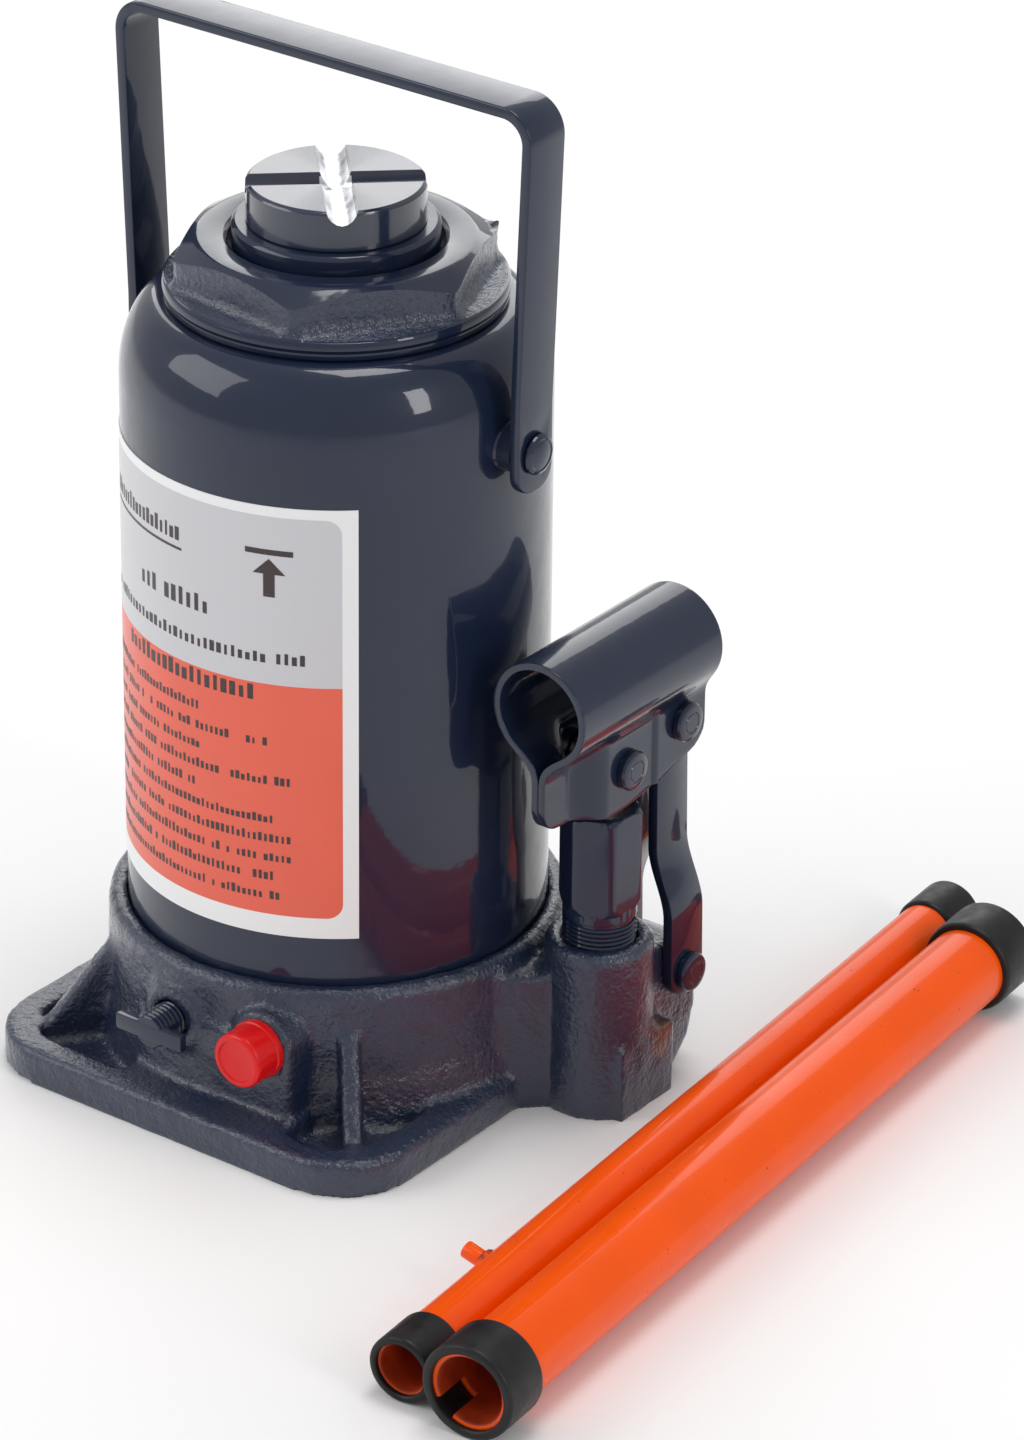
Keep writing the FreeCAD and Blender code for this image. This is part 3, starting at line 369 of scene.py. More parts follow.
def label_film():
    """Printed film: white edge, grey field above, orange-red field below."""
    scheme = finishes()
    material, tree, shader, place = new_finish("label_film", 0.38, coat=0.35, coat_roughness=0.16)
    sheet = add(tree, "ShaderNodeUVMap", uv_map="print").outputs["UV"]
    centre = (LABEL_WIDTH / 2, (LABEL_BORDER_LOW + LABEL_HEIGHT - LABEL_BORDER_TOP) / 2, 0.0)
    half = (LABEL_WIDTH / 2 - LABEL_BORDER_SIDE - LABEL_CORNER,
            (LABEL_HEIGHT - LABEL_BORDER_TOP - LABEL_BORDER_LOW) / 2 - LABEL_CORNER, 1.0)
    at = add(tree, "ShaderNodeVectorMath", {0: sheet, 1: (LABEL_SHEET,) * 3}, operation="MULTIPLY")
    at = add(tree, "ShaderNodeVectorMath", {0: at.outputs["Vector"], 1: centre}, operation="SUBTRACT")
    at = add(tree, "ShaderNodeVectorMath", {0: at.outputs["Vector"]}, operation="ABSOLUTE")
    at = add(tree, "ShaderNodeVectorMath", {0: at.outputs["Vector"], 1: half}, operation="SUBTRACT")
    at = add(tree, "ShaderNodeVectorMath", {0: at.outputs["Vector"], 1: (0.0, 0.0, 0.0)}, operation="MAXIMUM")
    reach = add(tree, "ShaderNodeVectorMath", {0: at.outputs["Vector"]}, operation="LENGTH").outputs["Value"]
    field = remap(tree, reach, 1.0, 0.0, LABEL_CORNER - 0.00006, LABEL_CORNER + 0.00006)
    height = add(tree, "ShaderNodeSeparateXYZ", {"Vector": sheet}).outputs["Y"]
    split = LABEL_SPLIT / LABEL_SHEET
    lower = remap(tree, height, 1.0, 0.0, split - 0.0005, split + 0.0005)
    drift = remap(tree, grain(tree, place, 0.018, 3.0), 0.0, 1.0)
    red = blend(tree, drift, shade(scheme.label_red, 0.95), tuple(scheme.label_red))
    print_colour = blend(tree, lower, tuple(scheme.label_grey), red)
    feed(shader, "Base Color", blend(tree, field, (0.86, 0.87, 0.88), print_colour))
    bump(tree, shader, grain(tree, place, 0.012, 2.0), 0.00005)
    return material


def ink():
    """Dark printing ink with slightly broken coverage."""
    material, tree, shader, place = new_finish("print_ink", 0.42, coat=0.3, coat_roughness=0.18)
    thin = remap(tree, grain(tree, place, 0.0011, 3.0), 0.0, 1.0, 0.62, 0.78)
    feed(shader, "Base Color", blend(tree, thin, (0.030, 0.014, 0.017), (0.16, 0.07, 0.06)))
    return material


MAKERS = {
    "gloss_paint": gloss_paint, "cast_paint": cast_paint, "saddle_paint": saddle_paint,
    "bare_groove": bare_groove, "orange_enamel": lever_enamel, "tube_inside": tube_inside,
    "weld_burn": weld_burn, "black_rubber": black_rubber, "red_plastic": red_plastic,
    "seal_rubber": seal_rubber, "label_film": label_film, "print_ink": ink,
    "bright_steel": lambda: metal("bright_steel", (0.62, 0.63, 0.65), 0.24),
    "cylinder_steel": lambda: metal("cylinder_steel", (0.44, 0.45, 0.47), 0.33),
    "bearing_bronze": lambda: metal("bearing_bronze", (0.55, 0.34, 0.14), 0.35),
    "copper_washer": lambda: metal("copper_washer", (0.72, 0.33, 0.19), 0.30),
}


def finish(name):
    """The material of that name, made the first time it is asked for."""
    return bpy.data.materials.get("jack_" + name) or MAKERS[name]()


# ------------------------------------------------------------------ mesh tools

def closed_mesh(name, points, faces, indices=None):
    """Mesh from millimetre points, welded, with its faces turned outwards."""
    mesh = bpy.data.meshes.new(name)
    mesh.from_pydata([Vector(p) * MM for p in points], [], faces)
    if indices is not None:
        mesh.polygons.foreach_set("material_index", indices)
    form = bmesh.new()
    form.from_mesh(mesh)
    bmesh.ops.remove_doubles(form, verts=form.verts, dist=1e-7)
    bmesh.ops.recalc_face_normals(form, faces=form.faces)
    form.to_mesh(mesh)
    form.free()
    return mesh


def aim(origin, direction):
    """Matrix that stands the upright along direction at origin."""
    return Matrix.Translation(origin) @ Vector((0, 0, 1)).rotation_difference(direction).to_matrix().to_4x4()


def lathe(name, profile, segments=128, origin=(0, 0, 0), direction=(0, 0, 1), areas=None):
    """Solid turned from (radius, distance) points, or from a function of the angle giving them.

    A profile that starts and ends on the axis is closed there, any other is a ring.
    areas gives each profile step its material number."""
    at_angle = profile if callable(profile) else (lambda angle: profile)
    place = aim(Vector(origin), Vector(direction))
    count = len(at_angle(0.0))
    points = []
    for s in range(segments):
        angle = 2 * math.pi * s / segments
        for radius, height in at_angle(angle):
            points.append(place @ Vector((radius * math.cos(angle), radius * math.sin(angle), height)))
    first = at_angle(0.0)[0][0]
    steps = count - 1 if first < 1e-6 else count
    faces = []
    indices = []
    for s in range(segments):
        here = s * count
        there = (s + 1) % segments * count
        for k in range(steps):
            after = (k + 1) % count
            faces.append((here + k, there + k, there + after, here + after))
            indices.append(areas[k] if areas else 0)
    return closed_mesh(name, points, faces, indices)


def mark_edges(mesh, angle=32.0):
    """Smooth faces, with a hard line wherever the surface turns sharply."""
    limit = math.radians(angle)
    form = bmesh.new()
    form.from_mesh(mesh)
    for face in form.faces:
        face.smooth = True
    for edge in form.edges:
        edge.smooth = len(edge.link_faces) == 2 and edge.calc_face_angle(0.0) < limit
    form.to_mesh(mesh)
    form.free()


def with_modifiers(mesh, *wanted):
    """The mesh after the given (kind, settings) modifiers."""
    holder = bpy.data.objects.new("holder", mesh)
    bpy.context.collection.objects.link(holder)
    for kind, settings in wanted:
        made = holder.modifiers.new(kind.lower(), kind)
        for key, value in settings.items():
            setattr(made, key, value)
    graph = bpy.context.evaluated_depsgraph_get()
    result = bpy.data.meshes.new_from_object(holder.evaluated_get(graph))
    bpy.data.objects.remove(holder)
    return result


def rounded(mesh, width, segments):
    """The mesh with its sharp edges rounded."""
    return with_modifiers(mesh, ("BEVEL", {
        "width": width, "segments": segments, "limit_method": "ANGLE",
        "angle_limit": math.radians(SHARP_EDGE), "use_clamp_overlap": True, "harden_normals": False,
    }))


def joined(name, *meshes):
    """One mesh from several."""
    form = bmesh.new()
    for mesh in meshes:
        form.from_mesh(mesh)
    whole = bpy.data.meshes.new(name)
    form.to_mesh(whole)
    form.free()
    return whole


def cad_copy(node, flats=True):
    """A welded copy of a frame piece's mesh; flats joins each flat face's triangles."""
    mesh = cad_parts[node].data.copy()
    mesh.materials.clear()
    form = bmesh.new()
    form.from_mesh(mesh)
    bmesh.ops.remove_doubles(form, verts=form.verts, dist=2e-6)
    if flats:
        bmesh.ops.dissolve_limit(form, angle_limit=math.radians(0.4), verts=form.verts, edges=form.edges)
    form.to_mesh(mesh)
    form.free()
    return mesh


def add_piece(name, mesh, body, materials, nodes=(), angle=32.0):
    """Object at the origin that rides a body and stands for frame pieces."""
    mark_edges(mesh, angle)
    mesh.name = name
    areas = [0] * len(mesh.polygons)
    mesh.polygons.foreach_get("material_index", areas)
    mesh.materials.clear()
    for material in materials:
        mesh.materials.append(finish(material))
    mesh.polygons.foreach_set("material_index", [min(area, len(materials) - 1) for area in areas])
    piece = bpy.data.objects.new(name, mesh)
    bpy.context.collection.objects.link(piece)
    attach(piece, body)
    if nodes:
        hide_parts(*nodes)
    return piece


def hex_reach(angle, flats, corner, soften=0.9):
    """Distance from a hexagon's centre to its side, with rounded corners."""
    turn = (angle - math.radians(corner)) % math.radians(60.0) - math.radians(30.0)
    side = flats / 2 / math.cos(turn)
    limit = flats / math.sqrt(3.0) - 0.25 * soften
    step = max(0.0, soften - abs(side - limit)) / soften
    return min(side, limit) - step * step * soften / 4.0


# ------------------------------------------------------------------ geometry node trees

def new_tree(name, inputs):
    """Empty geometry tree with named inputs; returns the tree, its input node and its output node."""
    tree = bpy.data.node_groups.new(name, "GeometryNodeTree")
    tree.interface.new_socket("Geometry", in_out="OUTPUT", socket_type="NodeSocketGeometry")
    for label, kind, default in inputs:
        socket = tree.interface.new_socket(label, in_out="INPUT", socket_type=kind)
        if default is not None:
            socket.default_value = default
    return tree, tree.nodes.new("NodeGroupInput"), tree.nodes.new("NodeGroupOutput")


def end_tree(tree, geometry, entry, leave):
    """Real geometry with its material, at the tree's end."""
    real = add(tree, "GeometryNodeRealizeInstances", {"Geometry": geometry})
    painted = add(tree, "GeometryNodeSetMaterial", {
        "Geometry": real.outputs["Geometry"], "Material": entry.outputs["Material"]})
    tree.links.new(painted.outputs["Geometry"], leave.inputs["Geometry"])


def maths(tree, operation, first, second=None):
    inputs = {0: first}
    if second is not None:
        inputs[1] = second
    return add(tree, "ShaderNodeMath", inputs, operation=operation).outputs["Value"]


def thread_tree():
    """Ridge of a screw thread wound round the upright."""
    known = bpy.data.node_groups.get("screw_thread")
    if known:
        return known
    tree, entry, leave = new_tree("screw_thread", [
        ("Radius", "NodeSocketFloat", 0.009), ("Depth", "NodeSocketFloat", 0.0006),
        ("Pitch", "NodeSocketFloat", 0.00125), ("Length", "NodeSocketFloat", 0.02),
        ("Start", "NodeSocketVector", (0.0, 0.0, 0.0)), ("Material", "NodeSocketMaterial", None)])
    given = entry.outputs
    turns = maths(tree, "DIVIDE", given["Length"], given["Pitch"])
    middle = maths(tree, "SUBTRACT", given["Radius"], maths(tree, "MULTIPLY", given["Depth"], 0.62))
    spiral = add(tree, "GeometryNodeCurveSpiral", {
        "Resolution": 56, "Rotations": turns, "Start Radius": middle, "End Radius": middle,
        "Height": given["Length"]})
    upright = add(tree, "GeometryNodeSetCurveNormal", {"Curve": spiral.outputs["Curve"]}, mode="Z_UP")
    ridge = add(tree, "GeometryNodeCurvePrimitiveCircle", {
        "Resolution": 4, "Radius": maths(tree, "MULTIPLY", given["Depth"], 0.62)})
    wound = add(tree, "GeometryNodeCurveToMesh", {
        "Curve": upright.outputs["Curve"], "Profile Curve": ridge.outputs["Curve"], "Fill Caps": True})
    moved = add(tree, "GeometryNodeTransform", {
        "Geometry": wound.outputs["Mesh"], "Translation": given["Start"]})
    end_tree(tree, moved.outputs["Geometry"], entry, leave)
    return tree


def print_tree():
    """Rows of plain strokes, like small print without letters, wrapped on an upright cylinder."""
    known = bpy.data.node_groups.get("printed_rows")
    if known:
        return known
    tree, entry, leave = new_tree("printed_rows", [
        ("Rows", "NodeSocketInt", 10), ("Strokes", "NodeSocketInt", 50),
        ("Row pitch", "NodeSocketFloat", 0.0054), ("Row length", "NodeSocketFloat", 0.076),
        ("Stroke height", "NodeSocketFloat", 0.0026), ("Shortest row", "NodeSocketFloat", 0.5),
        ("Kept", "NodeSocketFloat", 0.86), ("Radius", "NodeSocketFloat", 0.0553),
        ("Turn", "NodeSocketFloat", 0.0), ("Top", "NodeSocketFloat", 0.12),
        ("Seed", "NodeSocketInt", 3), ("Material", "NodeSocketMaterial", None)])
    given = entry.outputs
    cell = maths(tree, "DIVIDE", given["Row length"], given["Strokes"])
    width = maths(tree, "SUBTRACT", given["Row length"], cell)
    height = maths(tree, "MULTIPLY", given["Row pitch"], maths(tree, "SUBTRACT", given["Rows"], 1.0))
    grid = add(tree, "GeometryNodeMeshGrid", {
        "Size X": width, "Size Y": height, "Vertices X": given["Strokes"], "Vertices Y": given["Rows"]})
    places = add(tree, "GeometryNodeMeshToPoints", {"Mesh": grid.outputs["Mesh"]})
    at = add(tree, "GeometryNodeInputPosition").outputs["Position"]
    apart = add(tree, "ShaderNodeSeparateXYZ", {"Vector": at}).outputs
    chance = add(tree, "FunctionNodeRandomValue", {"Seed": given["Seed"]}, data_type="FLOAT")
    gap = add(tree, "FunctionNodeCompare", {0: chance.outputs[1], 1: given["Kept"]},
              data_type="FLOAT", operation="GREATER_THAN")
    row = maths(tree, "ROUND", maths(tree, "DIVIDE", apart["Y"], given["Row pitch"]))
    reach = add(tree, "FunctionNodeRandomValue", {
        2: given["Shortest row"], 3: 1.0, "ID": row, "Seed": given["Seed"]}, data_type="FLOAT")
    along = maths(tree, "ADD", maths(tree, "DIVIDE", apart["X"], given["Row length"]), 0.5)
    past = add(tree, "FunctionNodeCompare", {0: along, 1: reach.outputs[1]},
               data_type="FLOAT", operation="GREATER_THAN")
    dropped = add(tree, "FunctionNodeBooleanMath", {0: gap.outputs["Result"], 1: past.outputs["Result"]},
                  operation="OR")
    kept = add(tree, "GeometryNodeDeleteGeometry", {
        "Geometry": places.outputs["Points"], "Selection": dropped.outputs["Boolean"]})
    stroke = add(tree, "GeometryNodeMeshGrid", {
        "Size X": 1.0, "Size Y": 1.0, "Vertices X": 2, "Vertices Y": 2})
    wide = add(tree, "FunctionNodeRandomValue", {
        2: 0.36, 3: 0.74, "Seed": maths(tree, "ADD", given["Seed"], 7.0)}, data_type="FLOAT")
    tall = add(tree, "FunctionNodeRandomValue", {
        2: 0.62, 3: 1.0, "Seed": maths(tree, "ADD", given["Seed"], 13.0)}, data_type="FLOAT")
    high = maths(tree, "MULTIPLY", tall.outputs[1], given["Stroke height"])
    size = add(tree, "ShaderNodeCombineXYZ", {
        "X": maths(tree, "MULTIPLY", wide.outputs[1], cell), "Y": high, "Z": 1.0})
    base = add(tree, "ShaderNodeCombineXYZ", {"Y": maths(tree, "MULTIPLY", high, 0.5)})
    stood = add(tree, "GeometryNodeSetPosition", {
        "Geometry": kept.outputs["Geometry"], "Offset": base.outputs["Vector"]})
    marks = add(tree, "GeometryNodeInstanceOnPoints", {
        "Points": stood.outputs["Geometry"], "Instance": stroke.outputs["Mesh"],
        "Scale": size.outputs["Vector"]})
    real = add(tree, "GeometryNodeRealizeInstances", {"Geometry": marks.outputs["Instances"]})
    angle = maths(tree, "ADD", maths(tree, "DIVIDE", apart["X"], given["Radius"]), given["Turn"])
    drop = maths(tree, "MULTIPLY", height, 0.5)
    wrapped = add(tree, "ShaderNodeCombineXYZ", {
        "X": maths(tree, "MULTIPLY", given["Radius"], maths(tree, "SINE", angle)),
        "Y": maths(tree, "MULTIPLY",
                   maths(tree, "MULTIPLY", given["Radius"], maths(tree, "COSINE", angle)), -1.0),
        "Z": maths(tree, "ADD", maths(tree, "SUBTRACT", apart["Y"], drop), given["Top"])})
    laid = add(tree, "GeometryNodeSetPosition", {
        "Geometry": real.outputs["Geometry"], "Position": wrapped.outputs["Vector"]})
    end_tree(tree, laid.outputs["Geometry"], entry, leave)
    return tree


def grown(tree, values):
    """Plain mesh of what a geometry tree makes with the given input values."""
    holder = bpy.data.objects.new("grower", bpy.data.meshes.new("grower"))
    bpy.context.collection.objects.link(holder)
    modifier = holder.modifiers.new("grow", "NODES")
    modifier.node_group = tree
    for item in tree.interface.items_tree:
        if item.in_out == "INPUT" and item.name in values:
            modifier[item.identifier] = values[item.name]
    graph = bpy.context.evaluated_depsgraph_get()
    mesh = bpy.data.meshes.new_from_object(holder.evaluated_get(graph))
    holder.modifiers.remove(modifier)
    bpy.data.objects.remove(holder)
    return mesh


def thread(radius, depth, pitch, length, start, material):
    """Screw thread standing on the upright at start, sizes in millimetres."""
    return grown(thread_tree(), {
        "Radius": radius * MM, "Depth": depth * MM, "Pitch": pitch * MM, "Length": length * MM,
        "Start": tuple(Vector(start) * MM), "Material": finish(material)})


# ------------------------------------------------------------------ base casting

def roughen(mesh, lift):
    """Moves the surface in and out by cast lumps, and keeps the underside flat on the floor."""
    before = [(vertex.co.copy(), vertex.normal.copy()) for vertex in mesh.vertices]
    moved = []
    for at, outward in before:
        coarse = noise.noise(at * 160.0)
        fine = noise.noise(at * 520.0)
        place = at + outward * lift * (1.1 * coarse + 0.7 * fine)
        if place.z < 0.0004:
            place.z = 0.0
        moved.extend(place)
    mesh.vertices.foreach_set("co", moved)
    mesh.update()


class JackBase(bpy.types.Operator):
    """Base casting with rounded edges and cast skin"""

    bl_idname = "bottle_jack.base_casting"
    bl_label = "Base casting"

    def execute(self, context):
        mesh = with_modifiers(
            cad_copy("base_casting", flats=False),
            ("REMESH", {"mode": "VOXEL", "voxel_size": sizes().casting_voxel, "adaptivity": 0.0}),
            ("SMOOTH", {"factor": 0.5, "iterations": 5}))
        roughen(mesh, sizes().casting_grain)
        add_piece("base_casting_body", mesh, "jack_body", ["cast_paint"],
                  ["base_casting"], angle=180.0)
        return {"FINISHED"}


# ------------------------------------------------------------------ tank and label

LABEL_LOW = 56.3
LABEL_TOP = 176.5
LABEL_FROM = math.radians(-60.0)
LABEL_TO = math.radians(43.8)
LABEL_SHEET = 0.13
LABEL_WIDTH = TANK_R * MM * (LABEL_TO - LABEL_FROM)
LABEL_HEIGHT = (LABEL_TOP - LABEL_LOW) * MM
LABEL_BORDER_SIDE = 0.0040
LABEL_BORDER_TOP = 0.0027
LABEL_BORDER_LOW = 0.0058
LABEL_CORNER = 0.0042
LABEL_SPLIT = 0.0712


def shoulder(radius, top, low, inner, steps=18):
    """Elliptical shoulder from the tank's wall to its neck."""
    curve = []
    for k in range(steps + 1):
        turn = math.pi / 2 * k / steps
        curve.append((inner + (radius - inner) * math.cos(turn), low + (top - low) * math.sin(turn)))
    return curve


def tank_profile():
    outside = [(TANK_R, 36.0), (TANK_R, 60.0), (TANK_R, 120.0), (TANK_R, 180.0)]
    outside += shoulder(TANK_R, 211.0, 190.0, 43.5)
    mouth = [(41.9, 211.0), (41.3, 210.5), (41.3, 208.6), (42.6, 208.2)]
    inside = [(r, z) for r, z in reversed(shoulder(52.2, 208.2, 190.0, 43.5))]
    return outside + mouth + inside + [(52.2, 120.0), (52.2, 36.0)]


def film(name, radius, thick):
    """Label sheet wrapped on the tank, with its print map."""
    columns = 64
    points = []
    for layer in (radius, radius + thick):
        for z in (LABEL_LOW, LABEL_TOP):
            for k in range(columns + 1):
                angle = LABEL_FROM + (LABEL_TO - LABEL_FROM) * k / columns
                points.append((layer * math.sin(angle), -layer * math.cos(angle), z))
    row = columns + 1
    faces = []
    for k in range(columns):
        faces.append((2 * row + k, 2 * row + k + 1, 3 * row + k + 1, 3 * row + k))
        faces.append((k + 1, k, row + k, row + k + 1))
        faces.append((k, k + 1, 2 * row + k + 1, 2 * row + k))
        faces.append((row + k + 1, row + k, 3 * row + k, 3 * row + k + 1))
    faces.append((0, 2 * row, 3 * row, row))
    faces.append((columns, row + columns, 3 * row + columns, 2 * row + columns))
    mesh = closed_mesh(name, points, faces)
    layer = mesh.uv_layers.new(name="print")
    for loop in mesh.loops:
        at = mesh.vertices[loop.vertex_index].co
        angle = math.atan2(at.x, -at.y)
        layer.data[loop.index].uv = (
            (angle - LABEL_FROM) * TANK_R * MM / LABEL_SHEET, (at.z - LABEL_LOW * MM) / LABEL_SHEET)
    return mesh


def small_print(name, rows, strokes, pitch, length, height, turn, top, seed, kept=0.86, shortest=1.0):
    """Printed rows of strokes on the label, sizes in millimetres and degrees."""
    mesh = grown(print_tree(), {
        "Rows": rows, "Strokes": strokes, "Row pitch": pitch * MM, "Row length": length * MM,
        "Stroke height": height * MM, "Shortest row": shortest, "Kept": kept,
        "Radius": (TANK_R + 0.30) * MM, "Turn": math.radians(turn), "Top": top * MM,
        "Seed": seed, "Material": finish("print_ink")})
    add_piece(name, mesh, "jack_body", ["print_ink"])


def on_tank(name, patches, turn, z, size):
    """Flat patches, as (x, y) outlines, laid on the label round its turn and height."""
    form = bmesh.new()
    for patch in patches:
        form.faces.new([form.verts.new((x, y, 0.0)) for x, y in patch])
    steps = 24
    for k in range(1, steps):
        bmesh.ops.bisect_plane(form, geom=form.verts[:] + form.edges[:] + form.faces[:],
                               plane_co=(3.0 * (k / steps - 0.5), 0, 0), plane_no=(1, 0, 0))
    reach = TANK_R + 0.30
    for vertex in form.verts:
        angle = math.radians(turn) + vertex.co.x * size / TANK_R
        vertex.co = Vector((reach * math.sin(angle), -reach * math.cos(angle), z + vertex.co.y * size)) * MM
    mesh = bpy.data.meshes.new(name)
    form.to_mesh(mesh)
    form.free()
    return mesh


LIFT_SIGN = (
    ((-0.5, 0.42), (0.5, 0.42), (0.5, 0.54), (-0.5, 0.54)),
    ((-0.34, 0.0), (0.34, 0.0), (0.0, 0.34)),
    ((-0.12, -0.5), (0.12, -0.5), (0.12, 0.0), (-0.12, 0.0)),
)
RULE = (((-1.0, -0.02), (1.0, -0.02), (1.0, 0.02), (-1.0, 0.02)),)


class JackTank(bpy.types.Operator):
    """Tank shell, its label, the bail studs and the filler plug"""

    bl_idname = "bottle_jack.tank"
    bl_label = "Tank and label"

    def execute(self, context):
        add_piece("tank_body", lathe("tank", tank_profile(), 192), "jack_body",
                  ["gloss_paint"], ["tank_shell"])
        add_piece("label_sheet", film("film", TANK_R + 0.02, 0.22), "jack_body",
                  ["label_film"], ["data_label"])
        small_print("label_rows", sizes().text_rows, 50, 5.45, 76.0, 2.5, -7.0, 115.6, 4, 0.87, 0.5)
        small_print("label_heading", 1, 19, 5.0, 48.0, 4.6, -8.5, 122.6, 21, 1.0)
        small_print("label_title", 1, 36, 5.0, 74.0, 3.2, -8.0, 133.4, 5, 0.93)
        small_print("label_number", 1, 10, 5.0, 27.0, 5.0, -11.0, 143.2, 11, 0.9)
        small_print("label_name", 1, 18, 5.0, 37.0, 4.6, -26.0, 160.6, 8, 1.0)
        add_piece("label_name_line", on_tank("rule", RULE, -25.5, 158.4, 18.5), "jack_body",
                  ["print_ink"])
        add_piece("label_sign", on_tank("sign", LIFT_SIGN, 20.5, 158.0, 12.5), "jack_body",
                  ["print_ink"])
        self.studs()
        plug = lathe("plug", [(0, 2.0), (8.0, 2.0), (8.0, 7.4), (7.4, 8.6), (6.2, 9.3), (3.0, 9.6), (0, 9.6)],
                     64, (0, TANK_R - 6.0, 165.0), (0, 1, 0))
        add_piece("filler_plug_head", plug, "jack_body", ["black_rubber"],
                  ["oil_filler_plug"])
        return {"FINISHED"}

    def studs(self):
        profile = [(0, 3.0), (7.2, 3.0), (7.2, 4.2), (6.5, 5.2), (6.5, 9.3), (3.2, 9.3), (3.2, 13.0),
                   (4.6, 13.0),
                   (5.2, 13.2), (5.4, 13.7), (5.2, 14.2), (4.3, 14.7), (3.9, 14.5), (2.4, 15.0), (0, 15.2)]
        both = [lathe("stud", profile, 64, (sign * 50.0, 0, BAIL_PIVOT_Z), (sign, 0, 0)) for sign in (-1, 1)]
        add_piece("bail_stud_pair", joined("studs", *both), "jack_body",
                  ["gloss_paint"], ["bail_studs"])


# ------------------------------------------------------------------ top nut

NUT_FLATS = 73.4
NUT_CORNER = -67.3
NUT_BURR = math.radians(52.7)
BURR_HALF = math.radians(7.5)


def nut_profile(angle):
    """Section of the nut: bore, turned top, cast flats, flange and skirt."""
    side = hex_reach(angle, NUT_FLATS, NUT_CORNER, 1.6)
    meet = 227.4 - (side - 35.4) * math.tan(math.radians(30.0))
    near = (angle - NUT_BURR + math.pi) % (2 * math.pi) - math.pi
    burr = max(0.0, 1.0 - abs(near) / BURR_HALF) ** 1.6
    jag = burr * (2.3 + 1.4 * noise.noise(Vector((angle * 60.0, 3.0, 1.0))))
    foot = min(side + 1.9, 42.9)
    wobble = 0.35 * noise.noise(Vector((math.cos(angle) * 4.0, math.sin(angle) * 4.0, 7.0)))
    profile = [(27.4, 226.3), (28.2, 227.1), (28.7, 227.4), (34.6, 227.4), (35.1, 227.3)]
    for k in range(1, 6):
        part = k / 5.0
        profile.append((35.1 + (side - 35.1) * part, 227.3 + (meet - 227.3) * part))
    profile[-1] = (side + 0.2 * jag, meet + jag)
    profile.append((side + 0.1, meet - 0.5))
    for k in range(1, 7):
        z = meet - 0.5 + (219.3 + wobble - meet + 0.5) * k / 6.0
        rough = 0.22 * noise.noise(Vector((angle * 34.0, z * 0.9, 2.0)))
        profile.append((side + rough, z))
    profile += [(side + 0.35, 218.2), (side + 0.85, 217.3), (foot, 216.55), (42.9, 216.4), (43.5, 216.1),
                (43.8, 215.4), (43.8, 214.1), (42.9, 213.7), (43.6, 213.2), (43.6, 211.9), (43.1, 211.3),
                (41.0, 211.3), (41.0, 199.0), (37.3, 199.0), (37.3, 215.5), (30.0, 215.5), (30.0, 222.6),
                (27.4, 222.6)]
    return profile


class JackNut(bpy.types.Operator):
    """Hexagonal top nut: turned top, cast flats, ringed flange"""

    bl_idname = "bottle_jack.top_nut"
    bl_label = "Top nut"

    def execute(self, context):
        count = len(nut_profile(0.0))
        areas = [1 if 9 <= k <= 19 else 0 for k in range(count)]
        mesh = lathe("nut", nut_profile, 480, areas=areas)
        add_piece("top_nut_body", mesh, "jack_body", ["gloss_paint", "cast_paint"],
                  ["top_nut"], angle=40.0)
        return {"FINISHED"}


# ------------------------------------------------------------------ ram and extension screw

def groove_cutter(turn, depth, scallop):
    """Bar that mills one groove of the saddle; scallop is the height of its ripples."""
    half = [(-4.0, 6.0), (-4.0, 0.2), (-3.5, -0.9), (-2.6, -2.0), (-1.4, -2.7), (0.0, -3.0),
            (1.4, -2.7), (2.6, -2.0), (3.5, -0.9), (4.0, 0.2), (4.0, 6.0)]
    steps = 60
    points = []
    for k in range(steps + 1):
        x = -30.0 + 60.0 * k / steps
        wave = abs(math.sin(math.pi * x / 5.0))
        for y, z in half:
            lower = z if z > 0 else z * depth / 3.0 * (1.0 - scallop * (1.0 - wave))
            points.append(Matrix.Rotation(math.radians(turn), 3, "Z") @ Vector((x, y, 242.0 + lower)))
    count = len(half)
    faces = [tuple(range(count)), tuple(reversed(range(steps * count, (steps + 1) * count)))]
    for k in range(steps):
        for j in range(count):
            after = (j + 1) % count
            faces.append((k * count + j, k * count + after, (k + 1) * count + after, (k + 1) * count + j))
    return closed_mesh("groove", points, faces)


def carved(mesh, cutters):
    """The mesh with the cutters' shapes taken out of it."""
    holders = []
    for cutter in cutters:
        holder = bpy.data.objects.new("cutter", cutter)
        bpy.context.collection.objects.link(holder)
        holders.append(holder)
    steps = [("BOOLEAN", {"operation": "DIFFERENCE", "solver": "EXACT", "object": holder,
                          "material_mode": "INDEX"}) for holder in holders]
    result = with_modifiers(mesh, *steps)
    for holder in holders:
        bpy.data.objects.remove(holder)
    return result


